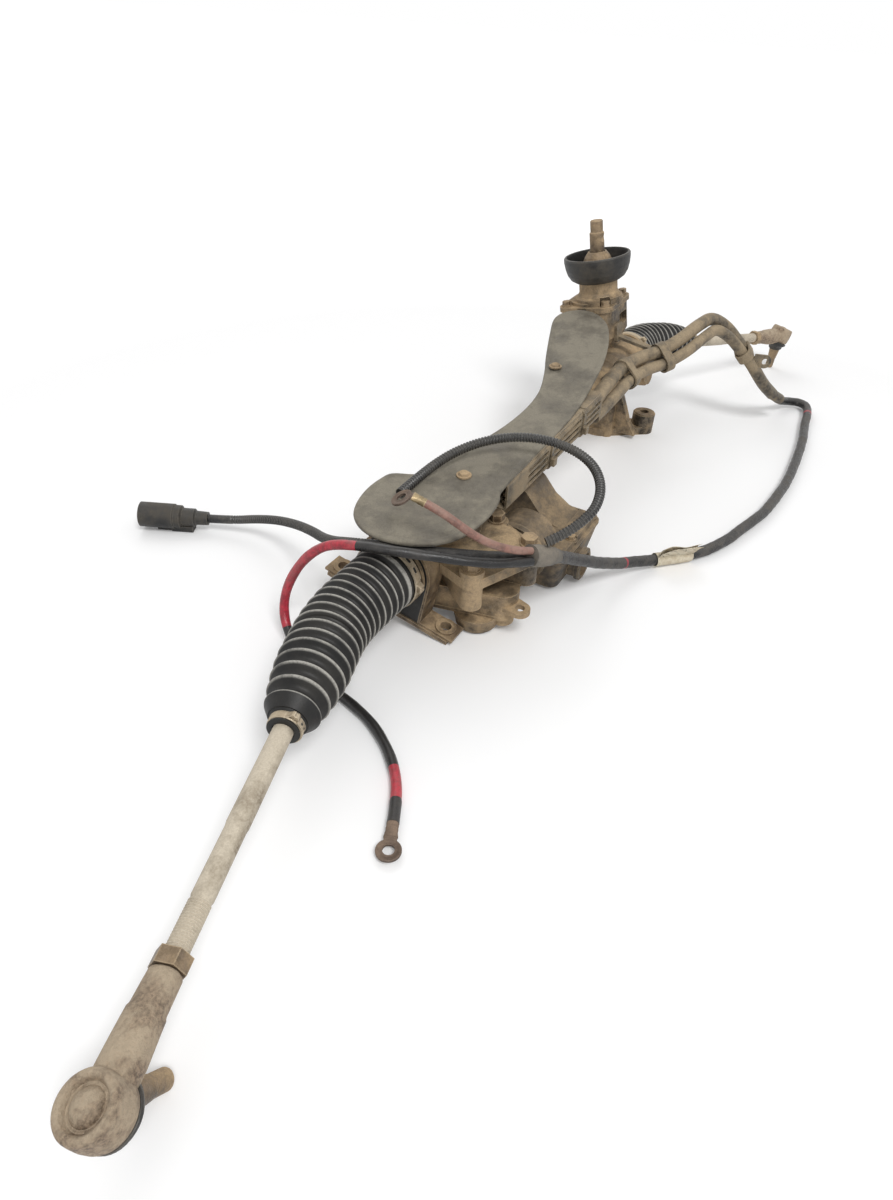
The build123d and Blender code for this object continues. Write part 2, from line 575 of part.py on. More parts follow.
cup_plane = Plane(
    origin=TOWER_FOOT + TOWER_UP * (SHAFT_COVER_TOP - 6), x_dir=(1, 0, 0),
    z_dir=Vector(0, math.sin(LEAN + math.radians(CUP_LEAN)), math.cos(LEAN + math.radians(CUP_LEAN))),
)
with BuildPart() as column_seal:
    add(turned(cup_plane, [
        (18, 6.6), (22.4, 6.6), (22.4, 0.5), (27.5, 0.5), (33, 4), (37, 10), (39.2, 17), (40.5, 25),
        (40.5, 29), (39.5, 30.5), (37.5, 30.5), (37, 28), (36, 18), (33.5, 12.5), (29, 9.5), (18, 9.5),
    ]))
    add(disc(tower_plane(SHAFT_COVER_TOP - 10), COVER_NECK_R + 0.1, 10.1), mode=Mode.SUBTRACT)
save(column_seal.part, "column_seal")

with BuildPart() as column_cone:
    add(turned(tower_plane(0), [
        (SHAFT_R + GAP, SHAFT_COVER_TOP + SEAM), (17, SHAFT_COVER_TOP + SEAM), (17, SHAFT_COVER_TOP + 4.2),
        (21.5, SHAFT_COVER_TOP + 4.6), (21.5, SHAFT_COVER_TOP + 9), (15.5, SHAFT_COVER_TOP + 22),
        (11.0, SHAFT_COVER_TOP + 28), (SHAFT_R + GAP, SHAFT_COVER_TOP + 28),
    ]))
save(column_cone.part, "column_cone")

with BuildPart() as cover_screws:
    for screw_x, screw_y in TOWER_SCREWS:
        seat = tower_plane(BLOCK_HIGH + FLANGE_THICK + 0.2).shift_origin(
            tower_plane(BLOCK_HIGH + FLANGE_THICK + 0.2).from_local_coords(Vector(screw_x, screw_y, 0)))
        add(hex_bolt(seat, 9, 5, 2.5, 16))
    for screw_x, screw_y in CASE_SCREWS:
        add(hex_bolt(Plane(origin=(screw_x, screw_y, CASE_Z[1] + COVER_THICK - 1.8)), 8, 4, 2.5, 14))
save(cover_screws.part, "cover_screws")

# ---------------------------------------------------------------- mounts
BUSH_BORE_R = 6.25          # for an M12 bolt
BUSH_RISE = 1.5

with BuildPart() as mount_bushes:
    for eye_x, eye_y in BASE_EYES:
        eye = floor_plane.shift_origin(
            floor_plane.from_local_coords(Vector(eye_x - FAR_PINION_X, eye_y, 0)))
        add(disc(eye.offset(0.2), EYE_BORE_R - SEAM, EYE_HEIGHT + BUSH_RISE, bore=BUSH_BORE_R))
        add(disc(eye.offset(EYE_HEIGHT + SEAM), EYE_R - 1.5, BUSH_RISE, bore=BUSH_BORE_R))
save(mount_bushes.part, "mount_bushes")

# saddle clamp round the near end: steel strap, rubber lining, base and two bolts
CLAMP_ROLL = 11.8           # how far the clamp's feet turn from level, +Y side up
FOOT_DROP = 46.0
FOOT_OUT = 57.0
FOOT_END = 70.0
STRAP_THICK = 2.5
BASE_THICK = 4.0
COLLAR_SHANK_R = 7.0
COLLAR_BORE_R = 5.25        # for an M10 bolt
clamp_plane = Plane(origin=(STRAP_FROM, 0, 0), x_dir=(0, 1, 0), z_dir=(1, 0, 0)).rotated((CLAMP_ROLL, 0, 0))


def clamp_foot(side, h=0.0):
    """Level plane of the clamp, on a bolt's axis."""
    local = Vector(side * FOOT_OUT, -FOOT_DROP + h, STRAP_WIDTH / 2)
    up = clamp_plane.y_dir
    return Plane(origin=clamp_plane.from_local_coords(local), x_dir=(1, 0, 0), z_dir=up)


with BuildPart() as clamp_strap:
    with BuildSketch(clamp_plane):
        Circle(STRAP_R)
        with Locations((0, -FOOT_DROP / 2)):
            Rectangle(2 * STRAP_R, FOOT_DROP)
        with Locations((0, -FOOT_DROP + STRAP_THICK / 2)):
            Rectangle(2 * FOOT_END, STRAP_THICK)
        Circle(STRAP_R - STRAP_THICK, mode=Mode.SUBTRACT)
        with Locations((0, -FOOT_DROP / 2)):
            Rectangle(2 * (STRAP_R - STRAP_THICK), FOOT_DROP, mode=Mode.SUBTRACT)
    extrude(amount=STRAP_WIDTH)
    for side in (-1, 1):
        add(disc(clamp_foot(side, -5), COLLAR_SHANK_R, 20), mode=Mode.SUBTRACT)
save(clamp_strap.part, "clamp_strap")

with BuildPart() as clamp_rubber:
    with BuildSketch(clamp_plane.offset(0.5)):
        Circle(STRAP_R - STRAP_THICK - SEAM)
        with Locations((0, -FOOT_DROP / 2)):
            Rectangle(2 * (STRAP_R - STRAP_THICK - SEAM), FOOT_DROP - SEAM)
        Circle(TUBE_END_R + SEAM, mode=Mode.SUBTRACT)
        with Locations((0, -FOOT_DROP)):
            Rectangle(30, 20, mode=Mode.SUBTRACT)
    extrude(amount=STRAP_WIDTH - 1)
save(clamp_rubber.part, "clamp_rubber")

with BuildPart() as clamp_base:
    with BuildSketch(clamp_plane.offset(-1)):
        with Locations((0, -FOOT_DROP - BASE_THICK / 2 - SEAM)):
            Rectangle(2 * FOOT_END - 8, BASE_THICK)
    extrude(amount=STRAP_WIDTH + 2)
    for side in (-1, 1):
        add(disc(clamp_foot(side, -10), COLLAR_SHANK_R, 20), mode=Mode.SUBTRACT)
save(clamp_base.part, "clamp_base")

with BuildPart() as clamp_collars:
    for side in (-1, 1):
        add(disc(clamp_foot(side, -BASE_THICK - SEAM), COLLAR_SHANK_R - SEAM,
                 BASE_THICK + STRAP_THICK + 2 * SEAM, bore=COLLAR_BORE_R))
        add(disc(clamp_foot(side, STRAP_THICK + SEAM), COLLAR_SHANK_R + 2.5, 2.5, bore=COLLAR_BORE_R))
save(clamp_collars.part, "clamp_collars")

# ---------------------------------------------------------------- heat shield
SHIELD_THICK = 1.2
RIM_DEPTH = 3.0
SHIELD_OUTLINE = (
    (-290, 38), (-311, 21), (-314, -4), (-296, -45), (-259, -61), (-212, -64), (-182, -54), (-106, -52),
    (13, -47), (66, -40), (108, -33), (134, -26), (180, 1), (205, 38), (186, 61), (111, 42), (57, 18),
    (-18, 1), (-74, 2), (-134, 9), (-194, 17), (-208, 41), (-236, 53), (-268, 49),
)
SHIELD_CORNER = 14.0

with BuildPart() as heat_shield:
    with BuildSketch(Plane.XZ.offset(-80)):
        with BuildLine():
            Polyline(
                (-330, SHIELD_Z), (SHIELD_RISE_FROM, SHIELD_Z), (230, shield_z(230)),
                (230, shield_z(230) + SHIELD_THICK), (SHIELD_RISE_FROM, SHIELD_Z + SHIELD_THICK),
                (-330, SHIELD_Z + SHIELD_THICK), close=True,
            )
        make_face()
    extrude(amount=160)
    with BuildSketch(Plane.XY):
        with BuildLine():
            FilletPolyline(*SHIELD_OUTLINE, radius=SHIELD_CORNER, close=True)
        make_face()
    extrude(amount=120, mode=Mode.INTERSECT)
    # turned-down rim
    with BuildPart(mode=Mode.PRIVATE) as rim:
        with BuildSketch(Plane.XZ.offset(-80)):
            with BuildLine():
                Polyline(
                    (-330, SHIELD_Z - RIM_DEPTH), (SHIELD_RISE_FROM, SHIELD_Z - RIM_DEPTH),
                    (230, shield_z(230) - RIM_DEPTH), (230, shield_z(230) + 0.1), (SHIELD_RISE_FROM, SHIELD_Z + 0.1),
                    (-330, SHIELD_Z + 0.1), close=True,
                )
            make_face()
        extrude(amount=160)
        with BuildSketch(Plane.XY):
            with BuildLine():
                FilletPolyline(*SHIELD_OUTLINE, radius=SHIELD_CORNER, close=True)
            make_face()
            offset(amount=-SHIELD_THICK, mode=Mode.SUBTRACT)
        extrude(amount=120, mode=Mode.INTERSECT)
        with Locations((-55, -42, SHIELD_Z)):
            Box(246, 44, 20, mode=Mode.SUBTRACT)
    add(rim.part)
    # stiffening bead along the middle
    with BuildSketch(Plane.XY.offset(SHIELD_Z + SHIELD_THICK)):
        with Locations((-70, -24)):
            SlotOverall(170, 12)
    extrude(amount=1.6, taper=40)
    for post_x, post_y in SHIELD_RIVETS:
        add(disc(Plane(origin=(post_x, post_y, 0)), RIVET_HOLE_R, 100), mode=Mode.SUBTRACT)
save(heat_shield.part, "heat_shield")

with BuildPart() as shield_rivets:
    for post_x, post_y in SHIELD_RIVETS:
        head = Plane(origin=(post_x, post_y, shield_z(post_x) + SHIELD_THICK + (1.2 if post_x > 0 else 0.1)))
        add(disc(head, 7, 1.4))
        add(turned(head.offset(1.4), [(0, 0), (5.5, 0), (4.4, 2.2), (2.4, 3.2), (0, 3.4)]))
        add(disc(head, RIVET_HOLE_R - 0.3, -3.0))
save(shield_rivets.part, "shield_rivets")

# ---------------------------------------------------------------- cable duct along the tube
DUCT_FROM = -172.0
DUCT_TO = 60.0
DUCT_Y = (-52.0, -30.0)
DUCT_Z = (18.0, 46.0)
DUCT_WALL = 2.0
DUCT_FEET = (-120.0, 20.0)
DUCT_MID_Y = (DUCT_Y[0] + DUCT_Y[1]) / 2

with BuildPart() as wiring_duct:
    with BuildSketch(Plane(origin=(DUCT_FROM, 0, 0), x_dir=(0, 1, 0), z_dir=(1, 0, 0))):
        with Locations((DUCT_MID_Y, (DUCT_Z[0] + DUCT_Z[1]) / 2)):
            RectangleRounded(DUCT_Y[1] - DUCT_Y[0], DUCT_Z[1] - DUCT_Z[0], 4)
            RectangleRounded(DUCT_Y[1] - DUCT_Y[0] - 2 * DUCT_WALL, DUCT_Z[1] - DUCT_Z[0] - 2 * DUCT_WALL, 2.5,
                             mode=Mode.SUBTRACT)
    extrude(amount=DUCT_TO - DUCT_FROM)
    # long slots along the outer side, with bars left between them
    for window_from, window_to in ((-128, -82), (-68, 0), (14, 54)):
        with BuildSketch(Plane(origin=(0, DUCT_Y[0] - 1, 0), x_dir=(1, 0, 0), z_dir=(0, -1, 0))):
            with Locations(*[((window_from + window_to) / 2, 25 + 7 * row) for row in range(3)]):
                RectangleRounded(window_to - window_from, 4.5, 1.5)
        extrude(amount=-(DUCT_WALL + 2), mode=Mode.SUBTRACT)
    for foot_x in DUCT_FEET:
        with BuildSketch(Plane(origin=(foot_x, 0, 0), x_dir=(0, 1, 0), z_dir=(1, 0, 0))):
            with BuildLine():
                Polyline((-48, 18.5), (-32, 18.5), (-12, 19), (-12, 14), (-30, 6), (-38, 10), close=True)
            make_face()
        extrude(amount=8, both=True)
    add(disc(x_plane(-300), TUBE_R + SEAM, 600), mode=Mode.SUBTRACT)
save(wiring_duct.part, "wiring_duct")

with BuildPart() as duct_covers:
    for cover_from, cover_to in ((-168.0, -78.0), (-72.0, 4.0), (10.0, 57.0)):
        with BuildSketch(Plane.XY.offset(DUCT_Z[1] + SEAM)):
            with Locations(((cover_from + cover_to) / 2, DUCT_MID_Y)):
                RectangleRounded(cover_to - cover_from, DUCT_Y[1] - DUCT_Y[0] - 2, 3)
        extrude(amount=2.2)
save(duct_covers.part, "duct_covers")

TIE_X = (-75.0, 7.0)
with BuildPart() as duct_ties:
    for tie_x in TIE_X:
        with BuildSketch(Plane(origin=(tie_x - 2.4, 0, 0), x_dir=(0, 1, 0), z_dir=(1, 0, 0))):
            with Locations((DUCT_MID_Y, (DUCT_Z[0] + DUCT_Z[1]) / 2)):
                RectangleRounded(DUCT_Y[1] - DUCT_Y[0] + 3.2, DUCT_Z[1] - DUCT_Z[0] + 3.2, 5.4)
                RectangleRounded(DUCT_Y[1] - DUCT_Y[0] + 0.4, DUCT_Z[1] - DUCT_Z[0] + 0.4, 4.2,
                                 mode=Mode.SUBTRACT)
        extrude(amount=4.8)
        with BuildSketch(Plane(origin=(tie_x, DUCT_Y[0] - 1.6, 26), x_dir=(1, 0, 0), z_dir=(0, -1, 0))):
            Rectangle(7, 8)
        extrude(amount=4)
save(duct_ties.part, "duct_ties")

# ---------------------------------------------------------------- carrier and its two pipes
PIPE_R = 8.0
CARRIER_TUBE = (
    (DUCT_TO + 1.5, DUCT_MID_Y, 32), (110, -38, 36), (160, -37, 39), (205, -44, 37), (235, -58, 37),
    (262, -74, 47), (300, -82, 54), (342, -90, 56), (366, -108, 40), (380, -132, 12), (388, -152, -14),
    (408, -168, -42), (440, -180, -66),
)
SECOND_TUBE = (
    (DUCT_TO + 1.5, DUCT_MID_Y - 3.6, 15.1), (110, -49.9, 23.4), (160, -49.6, 27.1), (203.6, -56.9, 25.5),
    (231.9, -71.1, 26.2), (258.7, -87.2, 36.3), (296.8, -95.5, 43.7), (333.5, -101.3, 46.1), (354.4, -117.4, 31.3),
    (367.8, -142, 4.8), (375.1, -162.6, -18.5), (395.8, -179.5, -46.1), (428.6, -193, -66),
)

with BuildPart() as carrier_tubes:
    add(cord(CARRIER_TUBE, PIPE_R))
    add(cord(SECOND_TUBE, PIPE_R - 1))
save(carrier_tubes.part, "carrier_tubes")

CLIPS = (2, 4, 9)           # points of the pipes that the carrier's clips hold
CLIP_WIDTH = 12.0
CLIP_ROOM = 0.5             # between a pipe and its clip, where the pipe bends
CLIP_WALL = 2.2
BLOCK_FACE = 8.0 - BLOCK_D / 2
LUG_BORE_R = 4.0
with BuildPart() as tube_carrier:
    for clip in CLIPS:
        first = bend_middle(CARRIER_TUBE, clip)
        second = bend_middle(SECOND_TUBE, clip)
        before = Vector(*CARRIER_TUBE[clip - 1])
        after = Vector(*CARRIER_TUBE[clip + 1])
        clip_plane = Plane(origin=(first + second) * 0.5, x_dir=(second - first), z_dir=(after - before))
        span = (second - first).length
        with BuildSketch(clip_plane.offset(-CLIP_WIDTH / 2)):
            SlotCenterToCenter(span, 2 * (PIPE_R + CLIP_ROOM + CLIP_WALL))
            SlotCenterToCenter(span, 2 * (PIPE_R + CLIP_ROOM), mode=Mode.SUBTRACT)
        extrude(amount=CLIP_WIDTH)
    # arm from the rack tube up to the first clip
    with BuildSketch(Plane(origin=(CARRIER_TUBE[CLIPS[0]][0], 0, 0), x_dir=(0, 1, 0), z_dir=(1, 0, 0))):
        with BuildLine():
            Polyline((-12, 18), (-26.5, 34), (-31.5, 29.5), (-17, 13), close=True)
        make_face()
    extrude(amount=CLIP_WIDTH / 2 - 1, both=True)
    add(disc(x_plane(-300), TUBE_R + SEAM, 500), mode=Mode.SUBTRACT)
    # arm from the tower's block out to the second clip
    with BuildSketch(Plane(origin=(CARRIER_TUBE[CLIPS[1]][0], 0, 0), x_dir=(0, 1, 0), z_dir=(1, 0, 0))):
        with BuildLine():
            Polyline((-3, 44), (-3, 48), (-48, 41), (-48, 37), close=True)
        make_face()
    extrude(amount=CLIP_WIDTH / 2 - 1, both=True)
    with BuildSketch(Plane(origin=TOWER_FOOT + TOWER_SIDE * (BLOCK_FACE - SEAM), x_dir=(1, 0, 0),
                           z_dir=TOWER_SIDE * -1)):
        with Locations((CARRIER_TUBE[CLIPS[1]][0] - FAR_PINION_X, 50)):
            RectangleRounded(18, 22, 3)
    extrude(amount=4)
    # lug with a hole at the outer clip
    lug_end = Vector(*SECOND_TUBE[CLIPS[2]])
    lug_plane = Plane(origin=lug_end, x_dir=(0.45, -0.85, -0.2), z_dir=(0.75, 0.45, -0.1))
    with BuildSketch(lug_plane):
        with Locations((14.5, 0)):
            Rectangle(5, 14)
        with Locations((28, 0)):
            Circle(9)
        make_hull()
        with Locations((28, 0)):
            Circle(LUG_BORE_R, mode=Mode.SUBTRACT)
    extrude(amount=2.5)
    add(cord(CARRIER_TUBE, PIPE_R + CLIP_ROOM), mode=Mode.SUBTRACT)
    add(cord(SECOND_TUBE, PIPE_R - 1 + CLIP_ROOM), mode=Mode.SUBTRACT)
save(tube_carrier.part, "tube_carrier")

# ---------------------------------------------------------------- inside: bushes, yokes, springs, bearings
BUSH_SPANS = ((-92.0, -72.0), (58.0, 78.0))
YOKE_LENGTH = 20.0
PLUG_THICK = 7.0
SPRING_R = 8.0
near_yoke_plane = Plane(origin=(NEAR_PINION_X, 0, 0), x_dir=(1, 0, 0), z_dir=(0, 1, 0))
far_yoke_plane = Plane(origin=(FAR_PINION_X, 0, 0), x_dir=(1, 0, 0), z_dir=TOWER_SIDE * -1)
YOKE_PLANES = (near_yoke_plane, far_yoke_plane)

with BuildPart() as rack_bushes:
    for bush_from, bush_to in BUSH_SPANS:
        add(disc(x_plane(bush_from), TUBE_BORE_R - 0.05, bush_to - bush_from, bore=RACK_R + GAP))
save(rack_bushes.part, "rack_bushes")

with BuildPart() as support_yokes:
    for yoke_plane in YOKE_PLANES:
        add(disc(yoke_plane.offset(8), YOKE_R - 0.05, YOKE_LENGTH))
        add(disc(yoke_plane.offset(8 + YOKE_LENGTH - 10), SPRING_R + 1, 12), mode=Mode.SUBTRACT)
    add(disc(x_plane(-400), RACK_R + GAP, 800), mode=Mode.SUBTRACT)
save(support_yokes.part, "support_yokes")

with BuildPart() as yoke_springs:
    for yoke_plane in YOKE_PLANES:
        coil_from = 8 + YOKE_LENGTH - 9.8
        coil_to = YOKE_END - PLUG_THICK - 0.2
        turns = 4
        wire_r = 1.1
        coil_height = coil_to - coil_from - 2 * wire_r
        with BuildLine() as coil:
            Helix(pitch=coil_height / turns, height=coil_height, radius=SPRING_R - wire_r,
                  center=yoke_plane.offset(coil_from + wire_r).origin, direction=yoke_plane.z_dir)
        with BuildSketch(Plane(origin=coil.line @ 0, z_dir=coil.line % 0)):
            RegularPolygon(wire_r, 6)
        sweep(path=coil.line, is_frenet=True)
save(yoke_springs.part, "yoke_springs")

with BuildPart() as yoke_plugs:
    for yoke_plane in YOKE_PLANES:
        add(disc(yoke_plane.offset(YOKE_END - PLUG_THICK), YOKE_R - 0.05, PLUG_THICK + 1))
        add(disc(yoke_plane.offset(YOKE_END + SEAM), YOKE_BOSS_R - 1.5, 3))
        with BuildSketch(yoke_plane.offset(YOKE_END + 6)):
            RegularPolygon(6, 6)
        extrude(amount=-7, mode=Mode.SUBTRACT)
save(yoke_plugs.part, "yoke_plugs")

INPUT_JOURNAL_R = 6.0
INPUT_STEM_R = 8.0
DRIVE_JOURNAL_R = 6.0
WORM_SHAFT_R = 4.5
INPUT_LOWER = (-32.0, 7.0)  # height and width of each bearing
INPUT_UPPER = (20.0, 9.0)
DRIVE_LOWER = (-55.5, 7.0)
DRIVE_UPPER = (15.5, 6.0)
WORM_NEAR_X = (WORM_FROM, 6.0)
WORM_FAR_X = (MOTOR_FROM - 7.0, 6.0)

with BuildPart() as bearings:
    add(disc(tower_plane(INPUT_LOWER[0]), 12 - 0.05, INPUT_LOWER[1], bore=INPUT_JOURNAL_R + GAP / 2))
    add(disc(tower_plane(INPUT_UPPER[0]), 12 - 0.05, INPUT_UPPER[1], bore=INPUT_STEM_R + GAP / 2))
    add(disc(drive_plane(DRIVE_LOWER[0]), 10, DRIVE_LOWER[1], bore=DRIVE_JOURNAL_R + GAP / 2))
    add(disc(drive_plane(DRIVE_UPPER[0]), 14 - 0.05, DRIVE_UPPER[1], bore=DRIVE_JOURNAL_R + GAP / 2))
    add(disc(worm_plane(WORM_NEAR_X[0]), WORM_BEARING_R - 0.05, WORM_NEAR_X[1], bore=WORM_SHAFT_R + GAP / 2))
    add(disc(worm_plane(WORM_FAR_X[0]), WORM_BEARING_R - 0.05, WORM_FAR_X[1], bore=WORM_SHAFT_R + GAP / 2))
save(bearings.part, "bearings")

# ---------------------------------------------------------------- rack bar and its toothed sections
SOCKET_GAP = 0.1
RACK_FROM = NEAR_BALL_X + SOCKET_BACK
RACK_TO = FAR_BALL_X - SOCKET_BACK
RACK_GAPS = 25              # tooth gaps in each toothed section
TIP_HALF_GAP = RACK_PITCH / 4 + MODULE * math.tan(math.radians(PRESSURE_ANGLE))
ROOT_HALF_GAP = RACK_PITCH / 4 - (RACK_TOOTH_DEPTH - MODULE) * math.tan(math.radians(PRESSURE_ANGLE))


def rack_cut(pinion_x, side):
    """What is cut away to leave rack teeth that point along a side of the bar.

    The section is centred on its travel, with a gap exactly at the pinion.
    """
    centre_x = pinion_x + RACK_PITCH * round(RACK_OFFSET / RACK_PITCH)
    cut_plane = Plane(origin=(centre_x, 0, 0), x_dir=(1, 0, 0), z_dir=Vector(1, 0, 0).cross(side))
    half = RACK_PITCH * (RACK_GAPS - 1) / 2
    with BuildPart() as cut:
        with BuildSketch(cut_plane):
            with Locations((0, RACK_TIP + 10)):
                Rectangle(2 * half + 2 * TIP_HALF_GAP, 20)
            for gap in range(RACK_GAPS):
                at = gap * RACK_PITCH - half
                with BuildLine():
                    Polyline(
                        (at - TIP_HALF_GAP, RACK_TIP + 0.1), (at - ROOT_HALF_GAP, RACK_TIP - RACK_TOOTH_DEPTH),
                        (at + ROOT_HALF_GAP, RACK_TIP - RACK_TOOTH_DEPTH), (at + TIP_HALF_GAP, RACK_TIP + 0.1),
                        close=True,
                    )
                make_face()
        extrude(amount=RACK_R + 1, both=True)
    return cut.part


with BuildPart() as rack_bar:
    add(disc(x_plane(RACK_FROM + SOCKET_GAP), RACK_R, RACK_TO - RACK_FROM - 2 * SOCKET_GAP))
    chamfer(rack_bar.edges().filter_by(GeomType.CIRCLE), length=1)
    add(rack_cut(NEAR_PINION_X, Vector(0, -1, 0)), mode=Mode.SUBTRACT)
    add(rack_cut(FAR_PINION_X, TOWER_SIDE), mode=Mode.SUBTRACT)
save(rack_bar.part, "rack_bar")

SEAT_OUTER_R = BALL_R + GAP + SEAT_WALL
SOCKET_BORE_R = SEAT_OUTER_R + GAP
with BuildPart() as inner_sockets:
    for ball_x, outward in ((NEAR_BALL_X, -1), (FAR_BALL_X, 1)):
        ball_plane = Plane(origin=(ball_x, 0, 0), x_dir=(0, 1, 0), z_dir=(outward, 0, 0))
        mouth = math.radians(MOUTH_ANGLE)
        lip = SOCKET_R * 0.78
        add(turned(ball_plane, [
            (0, -SOCKET_BACK), (13, -SOCKET_BACK), (15, -SOCKET_BACK + 2), (SOCKET_R, -SOCKET_BACK + 5),
            (SOCKET_R, SOCKET_R * 0.35), (SOCKET_BORE_R * math.sin(mouth) + 1.4, SOCKET_BORE_R * math.cos(mouth) + 2.2),
            (0, SOCKET_BORE_R * math.cos(mouth) + 2.2),
        ]))
        with Locations(Location((ball_x, 0, 0))):
            Sphere(SOCKET_BORE_R, mode=Mode.SUBTRACT)
        add(turned(ball_plane, [
            (0, 0), (22 * math.sin(mouth), 22 * math.cos(mouth)), (0, 22 * math.cos(mouth)),
        ]), mode=Mode.SUBTRACT)
        # flats for a spanner
        with BuildSketch(ball_plane.offset(-SOCKET_BACK)):
            with Locations((SOCKET_R + 3, 0), (-SOCKET_R - 3, 0)):
                Rectangle(10, 40)
        extrude(amount=9, mode=Mode.SUBTRACT)
save(inner_sockets.part, "inner_sockets")

# ---------------------------------------------------------------- pinions and worm gear
FACE_WIDTH = 26.0
BASE_R = PINION_R * math.cos(math.radians(PRESSURE_ANGLE))
TOOTH_THICK = MODULE * (math.pi / 2 + 2 * PROFILE_SHIFT * math.tan(math.radians(PRESSURE_ANGLE)))
FLANK_POINTS = 5


def involute(angle):
    return math.tan(angle) - angle


def tooth_flank():
    """One flank of a pinion tooth that points along +Y, from its root to its tip, on the +X side."""
    half_at_pitch = (TOOTH_THICK / 2 - FLANK_CLEARANCE) / PINION_R
    points = []
    for step in range(FLANK_POINTS):
        radius = BASE_R + (PINION_TIP_R - BASE_R) * step / (FLANK_POINTS - 1)
        half = half_at_pitch + involute(math.radians(PRESSURE_ANGLE)) - involute(math.acos(BASE_R / radius))
        points.append((radius * math.sin(half), radius * math.cos(half)))
    foot = math.atan2(points[0][0], points[0][1])
    return [(PINION_ROOT_R * 0.97 * math.sin(foot), PINION_ROOT_R * 0.97 * math.cos(foot)), *points]


def pinion(gear_plane, first_tooth):
    """Eight-toothed pinion, centred on its plane. A tooth points first_tooth degrees from the plane's X."""
    flank = tooth_flank()
    with BuildPart() as piece:
        with BuildSketch(gear_plane):
            Circle(PINION_ROOT_R)
            with PolarLocations(0, PINION_TEETH, start_angle=first_tooth - 90):
                with BuildLine():
                    Polyline(*flank, *[(-x, y) for x, y in reversed(flank)], close=True)
                make_face()
        extrude(amount=FACE_WIDTH / 2, both=True)
    return piece.part


SHAFT_TIP = 181.0
NOTCH_AT = 163.0
with BuildPart() as input_shaft:
    add(turned(tower_plane(0), [
        (0, -33), (INPUT_JOURNAL_R, -33), (INPUT_JOURNAL_R, 14), (INPUT_STEM_R, 16), (INPUT_STEM_R, 80),
        (SHAFT_R, 84), (SHAFT_R, 140), (8.8, 142), (8.8, 167), (7.6, 168), (7.6, SHAFT_TIP - 1),
        (6.8, SHAFT_TIP), (0, SHAFT_TIP),
    ]))
    add(pinion(tower_plane(0), -90))
    with BuildSketch(Plane(origin=TOWER_FOOT + TOWER_UP * 161, x_dir=TOWER_UP, z_dir=(1, 0, 0))):
        with Locations((0, 11.5)):
            Circle(5)
    extrude(amount=20, both=True, mode=Mode.SUBTRACT)
save(input_shaft.part, "input_shaft")

with BuildPart() as drive_pinion:
    add(turned(drive_plane(0), [
        (0, -56), (DRIVE_JOURNAL_R, -56), (DRIVE_JOURNAL_R, 21), (5, 22), (0, 22),
    ]))
    add(pinion(drive_plane(0), 90))
save(drive_pinion.part, "drive_pinion")

WHEEL_ROOT_R = WHEEL_R - 2.0
with BuildPart() as worm_wheel:
    add(disc(drive_plane(GEAR_Z - WHEEL_THICK / 2), WHEEL_ROOT_R, WHEEL_THICK, bore=DRIVE_JOURNAL_R + 0.02))
    with BuildSketch(drive_plane(GEAR_Z - WHEEL_THICK / 2)):
        with PolarLocations(WHEEL_ROOT_R, WHEEL_TEETH):
            with Locations((0.7, 0)):
                Rectangle(2.6, 1.9)
    extrude(amount=WHEEL_THICK)
    add(disc(drive_plane(GEAR_Z + WHEEL_THICK / 2 - 3), 28, 4, bore=12), mode=Mode.SUBTRACT)
    add(disc(drive_plane(GEAR_Z - WHEEL_THICK / 2 - 1), 28, 4, bore=12), mode=Mode.SUBTRACT)
save(worm_wheel.part, "worm_wheel")

WORM_HALF = 13.0
ROTOR_R = 10.0
ROTOR_FROM = -168.0
ROTOR_TO = -142.0
with BuildPart() as worm_shaft:
    add(disc(worm_plane(WORM_FROM), WORM_SHAFT_R, ROTOR_TO + 8 - WORM_FROM))
    add(disc(worm_plane(NEAR_PINION_X - WORM_HALF), WORM_R, 2 * WORM_HALF))
    add(disc(worm_plane(ROTOR_FROM), ROTOR_R, ROTOR_TO - ROTOR_FROM))
save(worm_shaft.part, "worm_shaft")

# ---------------------------------------------------------------- tie rods, rod ends and their joints
ROD_END_BORE_R = OUTER_BALL_R + GAP
SHANK_END = 66.0            # of the rod end, back from its ball's centre
SHANK_R = 10.4
NUT_THICK = 9.5
ROD_REACH = 28.0            # the tie rod's threaded end stops this far from the outer ball
THREAD_R = 7.0
THREAD_LENGTH = 110.0        # bare thread behind the lock nut
SMALL_CUFF_R = 11.5
STUD_NECK_R = 5.5
CAP_BACK = 14.0
FACE_OUT = 7.5
HEAD_LEAN = 12.0
SWING_CONE = 61.5           # half angle of the opening that the stud swings in
SEAT_MOUTH = 46.0
BOOT_WALL = 1.6


def tie_rod(ball, direction):
    base = across(ball, direction)
    thread_from = TIE_ROD_LENGTH - SHANK_END - THREAD_LENGTH
    with BuildPart() as piece:
        with BuildSketch(Plane(origin=ball, x_dir=base.x_dir, z_dir=-base.y_dir)):
            with BuildLine():
                Polyline(
                    (0, 0), (NECK_R, 0), (NECK_R, 30), (TIE_ROD_R, 36), (TIE_ROD_R, thread_from - 62),
                    (THREAD_R, thread_from - 60), (THREAD_R, thread_from), (THREAD_R - 0.3, thread_from + 0.3),
                    (THREAD_R - 0.3, thread_from + 1.7),
                    (THREAD_R, thread_from + 2), (THREAD_R, TIE_ROD_LENGTH - ROD_REACH),
                    (0, TIE_ROD_LENGTH - ROD_REACH), close=True,
                )
            make_face()
        revolve(axis=Axis(ball, direction))
        with Locations(Location(ball)):
            Sphere(BALL_R)
    return piece.part


